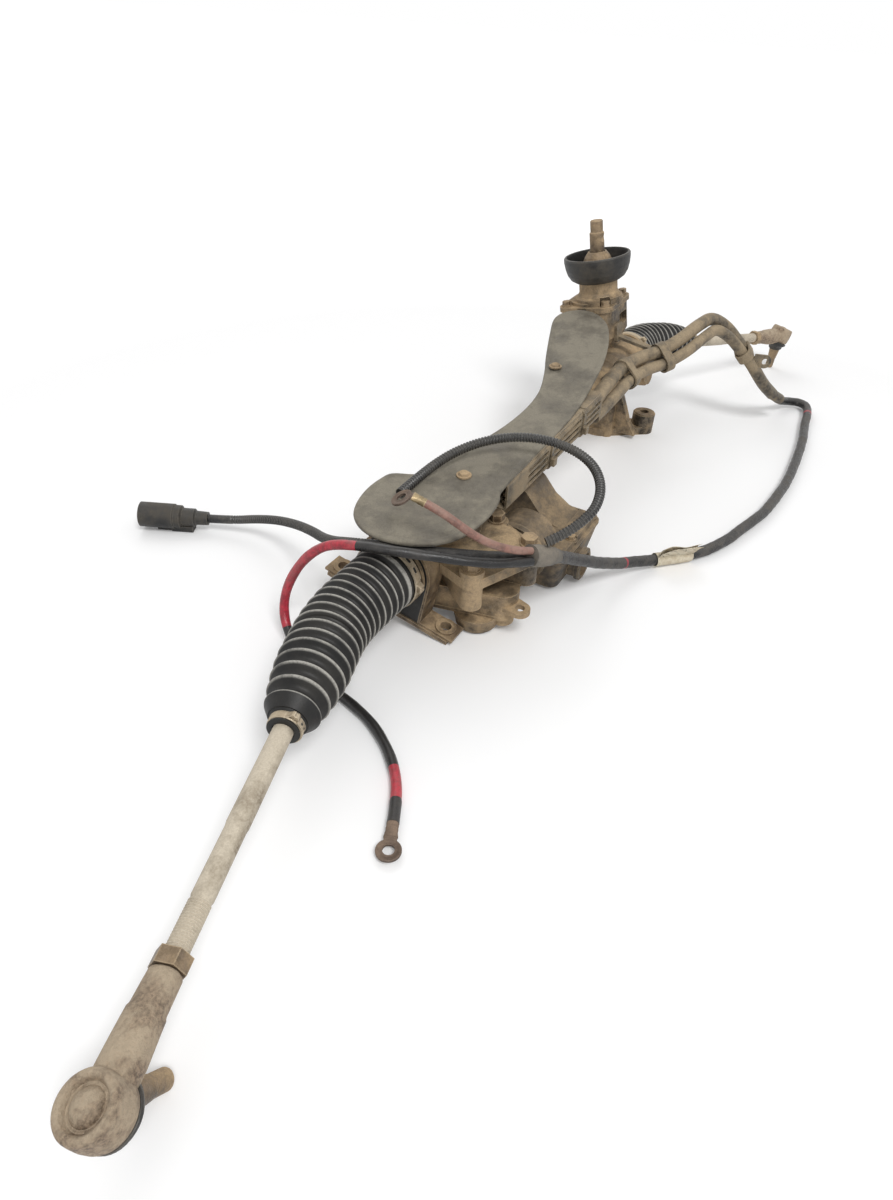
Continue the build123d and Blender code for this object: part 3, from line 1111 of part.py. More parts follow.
def ball_seat(ball, yaw_direction):
    """Liner between the inner ball and its socket, open towards the tie rod."""
    mouth = math.radians(SEAT_MOUTH)
    seat_plane = across(ball, yaw_direction)
    with BuildPart() as piece:
        with Locations(Location(ball)):
            Sphere(SEAT_OUTER_R)
            Sphere(BALL_R + GAP, mode=Mode.SUBTRACT)
        add(turned(seat_plane, [
            (0, 0), (24 * math.sin(mouth), 24 * math.cos(mouth)), (0, 24 * math.cos(mouth)),
        ]), mode=Mode.SUBTRACT)
    return piece.part


def head_axis(direction, stud_direction):
    """Axis of a rod end's head: square to the rod, then leaned HEAD_LEAN towards the shank."""
    square = (stud_direction - direction * stud_direction.dot(direction)).normalized()
    lean = math.radians(HEAD_LEAN)
    return square * math.cos(lean) - direction * math.sin(lean)


def rod_end(end, direction, stud_direction):
    """Head with a ball cavity open along the stud, a domed cap behind, and the threaded shank."""
    head_plane = across(end, head_axis(direction, stud_direction))
    back = direction * -1
    swing = math.radians(SWING_CONE)
    with BuildPart() as piece:
        add(turned(head_plane, [
            (0, -CAP_BACK - 2.5), (7, -CAP_BACK - 2.5), (11, -CAP_BACK), (13.5, -CAP_BACK + 0.5),
            (13.5, -CAP_BACK - 1), (16, -CAP_BACK - 1), (ROD_END_R, -CAP_BACK + 2), (ROD_END_R, FACE_OUT - 3),
            (ROD_END_R - 2, FACE_OUT), (0, FACE_OUT),
        ]))
        add(turned(across(end, back), [
            (0, 8), (SHANK_R + 1.6, 8), (SHANK_R + 0.8, 24), (SHANK_R, 48), (SHANK_R - 0.6, 49.5),
            (SHANK_R - 1, SHANK_END - 1), (SHANK_R - 2, SHANK_END), (0, SHANK_END),
        ]))
        # nothing of the shank stands past the head's face
        add(disc(head_plane.offset(FACE_OUT), 60, 60), mode=Mode.SUBTRACT)
        with Locations(Location(end)):
            Sphere(ROD_END_BORE_R, mode=Mode.SUBTRACT)
        add(turned(head_plane, [
            (0, 1), (26 * math.sin(swing), 26 * math.cos(swing)), (0, 26 * math.cos(swing)),
        ]), mode=Mode.SUBTRACT)
        add(disc(across(end + back * (ROD_REACH - 2), back), THREAD_R + 0.02, 80), mode=Mode.SUBTRACT)
    return piece.part


def lock_nut(end, direction):
    back = direction * -1
    with BuildPart() as piece:
        with BuildSketch(across(end + back * (SHANK_END + 0.2), back)):
            RegularPolygon(9.5, 6, major_radius=False)
            Circle(THREAD_R + 0.02, mode=Mode.SUBTRACT)
        extrude(amount=NUT_THICK)
    return piece.part


def ball_stud(end, stud_direction):
    base = across(end, stud_direction)
    ball_top = math.sqrt(OUTER_BALL_R**2 - STUD_NECK_R**2)
    with BuildPart() as piece:
        with BuildSketch(Plane(origin=end, x_dir=base.x_dir, z_dir=-base.y_dir)):
            with BuildLine():
                ThreePointArc((0, -OUTER_BALL_R), (OUTER_BALL_R, 0), (STUD_NECK_R, ball_top))
                Polyline(
                    (STUD_NECK_R, ball_top), (STUD_NECK_R, 14), (8.0, 19), (8.0, 22), (6.4, 37), (6.0, 38),
                    (6.0, STUD_LENGTH - 1.5), (5.0, STUD_LENGTH), (0, STUD_LENGTH), (0, -OUTER_BALL_R),
                )
            make_face()
        revolve(axis=Axis(end, stud_direction))
    return piece.part


def dust_boot(end, direction, stud_direction):
    """Rubber boot from the rod end's face to the stud's collar."""
    head = head_axis(direction, stud_direction)
    middle = (head + stud_direction).normalized()
    rings = (
        (head, FACE_OUT + SEAM, 15.0), (head, FACE_OUT + 2.5, 16.0), (middle, FACE_OUT + 6.0, 14.5),
        (stud_direction, 18.0, 10.0), (stud_direction, 20.0, 10.0),
    )
    with BuildPart() as piece:
        for wall, mode in ((0.0, Mode.ADD), (BOOT_WALL, Mode.SUBTRACT)):
            sections = []
            for normal, height, radius in rings:
                with BuildSketch(across(end + normal * height, normal)) as section:
                    Circle(radius - wall)
                sections.append(section.sketch)
            loft(sections, ruled=True, mode=mode)
    return piece.part


def hose_clamp(point, direction, inner, outer, width):
    """Thin band with a folded ear."""
    band_plane = across(point, direction)
    with BuildPart() as piece:
        add(disc(band_plane, outer, width, bore=inner))
        with BuildSketch(band_plane.offset(width * 0.2)):
            with Locations((0, outer + 1.5)):
                Rectangle(4.5, 5)
        extrude(amount=width * 0.6)
        add(disc(band_plane.offset(-1), inner, width + 2), mode=Mode.SUBTRACT)
    return piece.part


SIDES = {
    "near": (NEAR_BALL, NEAR_DIR, NEAR_END, NEAR_STUD_DIR, NEAR_YAW, -1),
    "far": (FAR_BALL, FAR_DIR, FAR_END, FAR_STUD_DIR, FAR_YAW, 1),
}
for side_name, (ball, direction, end, stud_direction, yaw, side) in SIDES.items():
    save(tie_rod(ball, direction), f"{side_name}_tie_rod")
    save(ball_seat(ball, unit(yaw, 0, side)), f"{side_name}_ball_seat")
    save(rod_end(end, direction, stud_direction), f"{side_name}_rod_end")
    save(lock_nut(end, direction), f"{side_name}_lock_nut")
    save(ball_stud(end, stud_direction), f"{side_name}_ball_stud")
    save(dust_boot(end, direction, stud_direction), f"{side_name}_dust_boot")
    clamp_at = ball + direction * (BELLOWS_GRIP - CUFF_LENGTH + 1)
    save(hose_clamp(clamp_at, direction, SMALL_CUFF_R + 0.3, SMALL_CUFF_R + 1.3, CUFF_LENGTH - 2),
         f"{side_name}_small_clamp")

# ---------------------------------------------------------------- bellows
TAPER_FROM = 0.35           # share of the bellows' length that keeps the full size
BELLOWS_TANGENT = 25.0      # the bend starts and ends this far from the inner ball
BIG_CUFF_R = 30.5
BIG_CUFF_BORE_R = END_R + 0.05
SMALL_CUFF_BORE_R = TIE_ROD_R + GAP


def bellows(ball, direction, side):
    """Bent rubber bellows: straight off the housing, a bend round the inner ball, straight along the rod."""
    axis = Vector(side, 0, 0)
    mouth = Vector(side * HOUSING_HALF, 0, 0)
    with BuildLine() as middle:
        FilletPolyline(mouth, ball, ball + direction * (BELLOWS_GRIP - CUFF_LENGTH),
                       radius=BELLOWS_TANGENT / math.tan(math.radians(axis.get_angle(direction)) / 2))
    path = middle.wires()[0]
    count = round(path.length / 10.2)

    def section(share, radius):
        with BuildSketch(across(path @ share, path % share)) as ring:
            Circle(radius)
        return ring.sketch

    def crest(share):
        taper = max(0.0, (share - TAPER_FROM) / (1 - TAPER_FROM))
        return BELLOWS_CREST_R + (BELLOWS_SMALL_CREST_R - BELLOWS_CREST_R) * taper

    lead = 0.02
    outer = [section(0, BIG_CUFF_R)]
    for fold in range(count):
        at = lead + (1 - 2 * lead) * fold / (count - 1)
        outer.append(section(at, crest(at)))
        if fold < count - 1:
            valley = at + (1 - 2 * lead) / (count - 1) / 2
            outer.append(section(valley, crest(valley) - BELLOWS_DEPTH))
    outer.append(section(1, SMALL_CUFF_R + 4))
    inner = [section(share, crest(share) - BELLOWS_DEPTH - BELLOWS_WALL) for share in (0, 0.1, 0.2, 0.3, 0.4, 0.5, 0.6, 0.8, 0.94)]
    inner.append(section(1, SMALL_CUFF_BORE_R + 2))
    with BuildPart() as piece:
        loft(outer, ruled=True)
        add(disc(x_plane(side * HOUSING_HALF), BIG_CUFF_R, -side * (SEAT_LENGTH - 0.5)))
        grip = across(path @ 1, direction)
        add(disc(grip, SMALL_CUFF_R, CUFF_LENGTH))
        loft(inner, ruled=True, mode=Mode.SUBTRACT)
        add(disc(x_plane(side * (HOUSING_HALF - SEAT_LENGTH)), BIG_CUFF_BORE_R, side * (SEAT_LENGTH + 0.2)),
            mode=Mode.SUBTRACT)
        add(disc(grip.offset(-4), SMALL_CUFF_BORE_R, CUFF_LENGTH + 8), mode=Mode.SUBTRACT)
    return piece.part


save(bellows(NEAR_BALL, NEAR_DIR, -1), "near_bellows")
save(bellows(FAR_BALL, FAR_DIR, 1), "far_bellows")

with BuildPart() as bellows_clamps:
    for side in (-1, 1):
        add(hose_clamp(Vector(side * (HOUSING_HALF - 3.5), 0, 0), Vector(-side, 0, 0),
                       BIG_CUFF_R + 0.1, BIG_CUFF_R + 1.2, 8))
save(bellows_clamps.part, "bellows_clamps")

# ---------------------------------------------------------------- harness
TRUNK_R = 6.0
CONDUIT_R = 4.6
LEAD_R = 4.2
GROUND_R = 3.4
TRUNK = (
    (441, -180.4, -66.8), (466, -189, -85), (490, -197, -92), (504, -212, -95), (497, -226, -95),
    (470, -233, -94), (415, -238, -92), (358, -246, -89), (300, -249, -86), (240, -252, -83),
    (185, -250, -80), (130, -246, -77), (78, -234, -74), (30, -222, -72), (-12, -203, -70),
    (-52, -168, -66), (-95, -146, -53), (-137, -131, -31), (-172, -121, -9), (-198, -117, 8),
)
SPLICE = ((-199, -116.7, 8.7), (-215, -112, 17), (-233, -105, 25))
CONNECTOR_LEAD = (
    (-233.6, -99.6, 23.3), (-252, -86, 28), (-271, -66, 34), (-289, -42, 39), (-303, -17, 42), (-311, 7, 41),
    (-311, 28, 35), (-303, 48, 24), (-288, 72, 10), (-271, 98, -2), (-255, 130, -15), (-244, 165, -28),
    (-241, 198, -40), (-247, 226, -48), (-257, 250, -49),
)
POWER_LEAD = (
    (-237.2, -108.9, 23.5), (-258, -97, 29), (-278, -78, 35), (-298, -53, 43), (-315, -24, 48), (-324, 5, 48),
    (-326, 34, 40), (-328, 54, 24), (-333, 68, 4), (-340, 76, -18), (-348, 74, -38), (-358, 60, -50.5),
    (-372, 36, -53.3), (-386, 6, -52.6), (-392, -26, -52), (-402, -58, -51.7), (-422, -88, -50.8),
    (-447, -111, -49.5), (-474, -124, -48),
)
CONDUIT_LOOP = (
    (-216.5, -112, 31.8), (-206, -122, 37), (-192, -131, 44), (-172, -137, 51), (-145, -130, 58),
    (-124, -112, 64), (-115, -86, 68), (-118, -58, 71), (-130, -32, 71), (-150, -10, 68), (-174, 4, 64),
    (-196, 11, 60), (-222, 14, 57), (-250, 14, 56),
)
GROUND_LEAD = (
    (-232.4, -105.3, 29.9), (-249, -100, 39), (-265, -91, 49), (-278, -80, 60), (-288, -66, 71),
    (-295, -52, 81), (-299, -38, 88), (-301, -26, 92),
)
HARNESS = {
    "harness_trunk": (TRUNK, TRUNK_R),
    "connector_lead": (CONNECTOR_LEAD, CONDUIT_R),
    "power_lead": (POWER_LEAD, LEAD_R),
    "conduit_loop": (CONDUIT_LOOP, CONDUIT_R),
    "ground_lead": (GROUND_LEAD, GROUND_R),
}
for cord_name, (route_points, cord_r) in HARNESS.items():
    save(cord(route_points, cord_r), cord_name)

SLEEVE_R = 9.0
with BuildPart() as splice_sleeve:
    joint_line = [Vector(*point) for point in SPLICE]
    with BuildSketch(across(joint_line[0], joint_line[1] - joint_line[0])):
        Circle(TRUNK_R + 1)
    with BuildSketch(across(joint_line[1], joint_line[2] - joint_line[0])):
        Circle(SLEEVE_R)
    with BuildSketch(across(joint_line[2], joint_line[2] - joint_line[1])):
        Circle(SLEEVE_R + 1)
    loft()
save(splice_sleeve.part, "splice_sleeve")

LABEL_AT = 14               # point of the trunk that the label is folded round
LABEL_SIZE = (46.0, 24.0)
LABEL_THICK = 0.8
with BuildPart() as cable_label:
    label_from = Vector(*TRUNK[LABEL_AT])
    label_along = (Vector(*TRUNK[LABEL_AT + 1]) - label_from).normalized()
    label_plane = Plane(origin=label_from + label_along * 25, x_dir=label_along, z_dir=(0.35, 0.75, 0.56))
    side_dir = label_plane.y_dir
    with BuildSketch(Plane(origin=label_from + label_along * 13, x_dir=side_dir, z_dir=label_along)):
        Circle(TRUNK_R + 1.3)
        with Locations((TRUNK_R + LABEL_SIZE[1] / 2, 0)):
            Rectangle(LABEL_SIZE[1], LABEL_THICK)
        Circle(TRUNK_R + 0.5, mode=Mode.SUBTRACT)
    extrude(amount=26)
save(cable_label.part, "cable_label")

RING_HOLE_R = 4.2


def ring_terminal(lead, lead_r, flat_normal):
    """Crimped ring terminal on the end of a lead."""
    tip = Vector(*lead[-1])
    along = (tip - Vector(*lead[-2])).normalized()
    level = flat_normal.cross(along).normalized()
    normal = along.cross(level)
    with BuildPart() as piece:
        barrel_plane = Plane(origin=tip + along * 0.2, x_dir=level, z_dir=along)
        with BuildSketch(barrel_plane):
            Circle(lead_r)
        with BuildSketch(barrel_plane.offset(12)):
            Ellipse(lead_r + 0.8, 1.6)
        loft()
        with BuildSketch(Plane(origin=tip + along * 22 - normal * 1.2, x_dir=along, z_dir=normal)):
            Circle(9)
            with Locations((-8, 0)):
                Rectangle(10, 8)
            Circle(RING_HOLE_R, mode=Mode.SUBTRACT)
        extrude(amount=2.4)
    return piece.part


with BuildPart() as ring_terminals:
    add(ring_terminal(GROUND_LEAD, GROUND_R, Vector(-0.1, -0.4, 0.9)))
    add(ring_terminal(POWER_LEAD, LEAD_R, Vector(0.2, 0.1, 0.97)))
save(ring_terminals.part, "ring_terminals")

PLUG_LENGTH = 70.0
with BuildPart() as harness_connector:
    plug_from = Vector(*CONNECTOR_LEAD[-1])
    plug_along = Vector(-34, 62, 3).normalized()
    plug_plane = Plane(origin=plug_from + plug_along * 0.6, x_dir=plug_along.cross(Vector(0, 0, 1)), z_dir=plug_along)
    add(turned(plug_plane, [
        (0, 0), (7, 0), (7.5, 12), (9.5, 14), (9.5, 26), (12, 28), (12, 34), (13, 35), (13, PLUG_LENGTH),
        (10.8, PLUG_LENGTH), (10.8, 42), (0, 42),
    ]))
    # latch and its guard on top
    with BuildSketch(plug_plane.offset(16)):
        with Locations((0, 11.5)):
            RectangleRounded(14, 7, 1.5)
    extrude(amount=22)
    with BuildSketch(plug_plane.offset(38)):
        with Locations((0, 14)):
            RectangleRounded(8, 3.4, 1)
    extrude(amount=16)
save(harness_connector.part, "harness_connector")
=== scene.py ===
import math

import bpy
import bmesh
from mathutils import Matrix, Vector


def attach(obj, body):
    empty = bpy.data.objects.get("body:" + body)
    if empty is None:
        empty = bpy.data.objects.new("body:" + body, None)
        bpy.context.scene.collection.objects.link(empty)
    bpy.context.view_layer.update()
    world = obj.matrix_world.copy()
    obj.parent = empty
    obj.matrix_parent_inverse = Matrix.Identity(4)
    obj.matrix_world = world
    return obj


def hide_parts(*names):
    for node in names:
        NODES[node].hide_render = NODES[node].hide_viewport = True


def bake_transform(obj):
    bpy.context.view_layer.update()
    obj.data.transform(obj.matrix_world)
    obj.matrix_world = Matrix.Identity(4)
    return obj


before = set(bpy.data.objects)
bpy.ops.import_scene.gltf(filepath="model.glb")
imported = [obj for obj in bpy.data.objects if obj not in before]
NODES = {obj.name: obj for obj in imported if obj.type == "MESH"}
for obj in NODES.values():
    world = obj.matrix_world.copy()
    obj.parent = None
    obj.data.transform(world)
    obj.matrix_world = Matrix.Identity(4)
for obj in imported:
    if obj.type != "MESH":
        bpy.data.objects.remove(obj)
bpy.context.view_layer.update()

# ---------------------------------------------------------------- frame
# Points are written as in the CAD source: millimetres in the rack's own frame, X along the rack.
# The rack lies with its far end raised by TILT and is moved to the middle of its box.
TILT = math.radians(2.98)
ORIGIN_SHIFT = Vector((-20.83, -58.88, 0.0))
FLOOR_DROP = 77.7
TURN = Matrix.Rotation(-TILT, 3, "Y")
SET_DOWN = Vector((0, 0, FLOOR_DROP * math.cos(TILT))) - ORIGIN_SHIFT


def at(point):
    """Point of the rack's frame, in millimetres, as a point of the scene in metres."""
    return (TURN @ Vector(point) + SET_DOWN) * 0.001


def way(direction):
    """Direction of the rack's frame as a direction of the scene."""
    return (TURN @ Vector(direction)).normalized()


# ---------------------------------------------------------------- materials
EDGE_WEAR = 0.0012          # width of the worn strip along an edge, in metres
DARKER = 0.45               # grime against its base colour
PALER = 1.5                 # worn edges against their base colour
MATERIALS = {}


class Paint:
    """Small helper that builds one material's node tree."""

    def __init__(self, name):
        self.material = bpy.data.materials.new(name)
        self.material.use_nodes = True
        self.tree = self.material.node_tree
        self.tree.nodes.clear()
        self.out = self.tree.nodes.new("ShaderNodeOutputMaterial")
        self.shader = self.tree.nodes.new("ShaderNodeBsdfPrincipled")
        self.tree.links.new(self.shader.outputs[0], self.out.inputs[0])
        self.place = self.tree.nodes.new("ShaderNodeTexCoord").outputs["Object"]
        self.facing = self.tree.nodes.new("ShaderNodeNewGeometry").outputs["Normal"]

    def link(self, socket, target):
        self.tree.links.new(socket, target)

    def noise(self, scale, detail, rough):
        """Cloudy noise from nought to one, with about scale patches to the metre."""
        node = self.tree.nodes.new("ShaderNodeTexNoise")
        node.inputs["Scale"].default_value = scale
        node.inputs["Detail"].default_value = detail
        node.inputs["Roughness"].default_value = rough
        self.link(self.place, node.inputs["Vector"])
        return node.outputs["Fac"]

    def ramp(self, value, low, high, to_low=0.0, to_high=1.0):
        """Value from low to high, turned smoothly into to_low to to_high."""
        node = self.tree.nodes.new("ShaderNodeMapRange")
        node.interpolation_type = "SMOOTHSTEP"
        limits = {"From Min": low, "From Max": high, "To Min": to_low, "To Max": to_high}
        for name, number in limits.items():
            node.inputs[name].default_value = number
        self.link(value, node.inputs["Value"])
        return node.outputs[0]

    def maths(self, kind, first, second):
        """Result of one sum. Each side is a socket or a number."""
        node = self.tree.nodes.new("ShaderNodeMath")
        node.operation = kind
        for socket, value in zip(node.inputs, (first, second)):
            if isinstance(value, (int, float)):
                socket.default_value = value
            else:
                self.link(value, socket)
        return node.outputs[0]

    def upward(self):
        """One where the surface faces up, nought on walls and undersides."""
        node = self.tree.nodes.new("ShaderNodeSeparateXYZ")
        self.link(self.facing, node.inputs[0])
        return self.ramp(node.outputs["Z"], 0.2, 0.9)

    def edge(self):
        """One near sharp edges, nought on flat places."""
        bevel = self.tree.nodes.new("ShaderNodeBevel")
        bevel.samples = 4
        bevel.inputs["Radius"].default_value = EDGE_WEAR
        dot = self.tree.nodes.new("ShaderNodeVectorMath")
        dot.operation = "DOT_PRODUCT"
        self.link(bevel.outputs[0], dot.inputs[0])
        self.link(self.facing, dot.inputs[1])
        return self.ramp(dot.outputs["Value"], 0.99, 0.88)

    def mix(self, share, first, second):
        """First colour, going over to the second by the share. Each is a socket or three numbers."""
        node = self.tree.nodes.new("ShaderNodeMix")
        node.data_type = "RGBA"
        self.link(share, node.inputs[0])
        for socket, colour in ((node.inputs[6], first), (node.inputs[7], second)):
            if isinstance(colour, tuple):
                socket.default_value = (*colour, 1)
            else:
                self.link(colour, socket)
        return node.outputs[2]

    def bump(self, height, distance):
        """Normal of a surface that is raised by the height, times a distance in metres."""
        node = self.tree.nodes.new("ShaderNodeBump")
        node.inputs["Distance"].default_value = distance
        self.link(height, node.inputs["Height"])
        return node.outputs[0]


def used_surface(name, base, dust, cover=0.5, rough=0.6, metal=0.0, dark=None, worn=None, patch=22.0,
                 grain=900.0, relief=0.0002, settle=0.35, wear=0.8):
    """Used surface: a base colour with dark grime, worn edges, and dust in patches and on top.

    cover is the share under dust, settle what lies on top and wear how bare the edges are. patch and grain
    are the scales of the broad and the fine noise, and relief is the height of the grain in metres.
    """
    paint = Paint(name)
    dark = dark or tuple(DARKER * channel for channel in base)
    worn = worn or tuple(min(1.0, PALER * channel + 0.05) for channel in base)
    broad = paint.noise(patch, 8, 0.65)
    fine = paint.noise(grain, 3, 0.6)
    middle = paint.noise(patch * 7, 6, 0.7)
    colour = paint.mix(paint.ramp(middle, 0.38, 0.62), base, dark)
    edge = paint.edge()
    colour = paint.mix(paint.maths("MULTIPLY", edge, wear), colour, worn)
    lying = paint.maths("MULTIPLY", paint.upward(), settle)
    spread = paint.maths("ADD", paint.ramp(broad, 0.5 - 0.25 * cover, 0.72 - 0.25 * cover), lying)
    spread = paint.maths("MULTIPLY", spread, paint.ramp(middle, 0.25, 0.6, 0.45, 1.0))
    spread = paint.maths("MINIMUM", paint.maths("MULTIPLY", spread, min(1.0, cover + 0.35)), 1.0)
    colour = paint.mix(spread, colour, dust)
    colour = paint.mix(paint.ramp(fine, 0.35, 0.65, 0.0, 0.22), colour, dark)
    paint.link(colour, paint.shader.inputs["Base Color"])
    dull = paint.ramp(spread, 0.0, 1.0, rough, 0.9)
    paint.link(dull, paint.shader.inputs["Roughness"])
    if metal > 0:
        paint.link(paint.ramp(spread, 0.2, 0.9, metal, 0.0), paint.shader.inputs["Metallic"])
    height = paint.maths("ADD", fine, paint.maths("MULTIPLY", middle, 2.0))
    paint.link(paint.bump(height, relief), paint.shader.inputs["Normal"])
    MATERIALS[name] = paint.material


def bellows_rubber():
    """Black rubber whose fold crests carry a painted pale highlight, broken up here and there."""
    paint = Paint("bellows_rubber")
    crest_highlight = paint.tree.nodes.new("ShaderNodeAttribute")
    crest_highlight.attribute_name = "crest_highlight"
    crest_highlight = crest_highlight.outputs["Fac"]
    broad = paint.noise(26.0, 6, 0.65)
    fine = paint.noise(700.0, 3, 0.6)
    colour = paint.mix(paint.ramp(broad, 0.35, 0.7), (0.010, 0.010, 0.010), (0.03, 0.028, 0.025))
    # the crests of the folds get a painted pale highlight, broken up by the noise
    crest = paint.maths("MULTIPLY", paint.ramp(crest_highlight, 0.35, 0.95), paint.ramp(broad, 0.3, 0.55, 0.35, 1.0))
    crest = paint.maths("MULTIPLY", crest, paint.ramp(fine, 0.3, 0.55, 0.55, 1.0))
    colour = paint.mix(crest, colour, (0.40, 0.385, 0.35))
    paint.shader.inputs["Specular IOR Level"].default_value = 0.3
    paint.link(colour, paint.shader.inputs["Base Color"])
    paint.link(paint.ramp(crest, 0.0, 1.0, 0.48, 0.85), paint.shader.inputs["Roughness"])
    paint.link(paint.bump(fine, 0.00015), paint.shader.inputs["Normal"])
    MATERIALS["bellows_rubber"] = paint.material


# after the two colours come the cover of dust, the roughness and the share of metal
used_surface("casting", (0.15, 0.12, 0.085), (0.50, 0.36, 0.21), 0.5, 0.5, 0.4,
             dark=(0.035, 0.028, 0.02), worn=(0.62, 0.48, 0.30), relief=0.0004)
used_surface("case", (0.075, 0.06, 0.045), (0.38, 0.28, 0.17), 0.42, 0.5, 0.0,
             dark=(0.02, 0.017, 0.013), worn=(0.42, 0.33, 0.21), relief=0.0004)
used_surface("steel_dusty", (0.20, 0.15, 0.105), (0.47, 0.34, 0.20), 0.5, 0.42, 0.6,
             dark=(0.05, 0.036, 0.025), worn=(0.66, 0.53, 0.36), relief=0.0003)
used_surface("steel_clean", (0.42, 0.40, 0.37), (0.34, 0.29, 0.22), 0.15, 0.3, 0.9)
used_surface("rod", (0.44, 0.385, 0.30), (0.60, 0.53, 0.42), 0.55, 0.5, 0.35, patch=40,
             dark=(0.22, 0.175, 0.12), worn=(0.75, 0.68, 0.56), relief=0.0003)
used_surface("forging", (0.34, 0.25, 0.17), (0.52, 0.42, 0.30), 0.45, 0.55, 0.3, patch=60,
             grain=420.0, dark=(0.13, 0.09, 0.06), worn=(0.68, 0.56, 0.42), relief=0.0007)
used_surface("plastic", (0.13, 0.105, 0.07), (0.36, 0.28, 0.18), 0.5, 0.5, patch=30,
             dark=(0.035, 0.028, 0.02), worn=(0.5, 0.4, 0.27), relief=0.0003)
used_surface("shield", (0.13, 0.115, 0.09), (0.25, 0.225, 0.175), 0.55, 0.5, 0.3, patch=16,
             dark=(0.06, 0.052, 0.04), worn=(0.55, 0.5, 0.4), relief=0.0005)
used_surface("rubber", (0.014, 0.014, 0.014), (0.10, 0.085, 0.065), 0.25, 0.45, wear=0.5,
             worn=(0.30, 0.27, 0.22))
used_surface("cable", (0.008, 0.008, 0.009), (0.09, 0.08, 0.07), 0.15, 0.25, wear=0.1)
used_surface("red", (0.52, 0.02, 0.045), (0.42, 0.16, 0.15), 0.15, 0.3, wear=0.1)
used_surface("brown", (0.27, 0.125, 0.095), (0.42, 0.29, 0.23), 0.3, 0.42, wear=0.1)
used_surface("white_plastic", (0.62, 0.60, 0.54), (0.5, 0.44, 0.34), 0.3, 0.5)
used_surface("brass", (0.45, 0.34, 0.19), (0.35, 0.29, 0.19), 0.3, 0.4, 0.8)
used_surface("rusty_ring", (0.12, 0.085, 0.065), (0.24, 0.17, 0.12), 0.4, 0.5, 0.6)
used_surface("tape", (0.009, 0.009, 0.010), (0.16, 0.145, 0.125), 0.22, 0.28, patch=50,
             wear=0.3, relief=0.0006)
used_surface("grey_tape", (0.085, 0.08, 0.07), (0.24, 0.21, 0.17), 0.5, 0.6, wear=0.3)
used_surface("conduit", (0.009, 0.009, 0.010), (0.11, 0.10, 0.085), 0.2, 0.28, wear=0.8,
             worn=(0.22, 0.21, 0.19))
used_surface("clamp_steel", (0.46, 0.38, 0.27), (0.56, 0.46, 0.32), 0.4, 0.35, 0.5,
             dark=(0.2, 0.15, 0.1), worn=(0.8, 0.72, 0.58))
used_surface("hollow", (0.02, 0.018, 0.015), (0.06, 0.05, 0.04), 0.3, 0.8)
used_surface("tan_wire", (0.36, 0.27, 0.16), (0.42, 0.35, 0.25), 0.5, 0.55, wear=0.1)
used_surface("dark_wire", (0.06, 0.05, 0.04), (0.25, 0.2, 0.14), 0.5, 0.55, wear=0.1)
used_surface("label_film", (0.66, 0.60, 0.47), (0.45, 0.36, 0.24), 0.2, 0.45, wear=0.2,
             dark=(0.5, 0.43, 0.31))
bellows_rubber()

# the look of each solid of the CAD model, by node
LOOKS = {
    "casting": ("rack_housing", "gear_case_cover", "lower_gear_cover", "tower_cover", "yoke_plugs"),
    "case": ("motor_housing", "ecu_case", "ecu_cover"),
    "steel_dusty": (
        "gear_case_bolts", "cover_screws", "mount_bushes", "clamp_strap", "clamp_base", "clamp_collars",
        "bellows_clamps", "near_small_clamp", "far_small_clamp", "near_lock_nut", "far_lock_nut",
        "near_ball_stud", "far_ball_stud", "shield_rivets", "input_shaft", "column_cone",
    ),
    "steel_clean": (
        "yoke_springs", "bearings", "rack_bar", "inner_sockets", "drive_pinion", "worm_shaft",
    ),
    "rod": ("near_tie_rod", "far_tie_rod"),
    "forging": ("near_rod_end", "far_rod_end"),
    "plastic": ("wiring_duct", "duct_covers", "duct_ties", "carrier_tubes", "tube_carrier"),
    "shield": ("heat_shield",),
    "rubber": (
        "clamp_rubber", "column_seal", "near_bellows", "far_bellows", "near_dust_boot", "far_dust_boot",
        "harness_connector",
    ),
    "cable": ("splice_sleeve",),
    "white_plastic": (
        "rack_bushes", "support_yokes", "worm_wheel", "near_ball_seat", "far_ball_seat", "cable_label",
    ),
    "brass": ("ring_terminals",),
}


def finish(piece, look):
    """Give a piece one material in place of what it had."""
    piece.data.materials.clear()
    piece.data.materials.append(MATERIALS[look])


for look, names in LOOKS.items():
    for node_name in names:
        finish(NODES[node_name], look)

# ---------------------------------------------------------------- shapes
SHARP = math.radians(38)    # edges steeper than this stay crisp


def circle(around):
    """Angles of even steps once round."""
    return [2 * math.pi * step / around for step in range(around)]


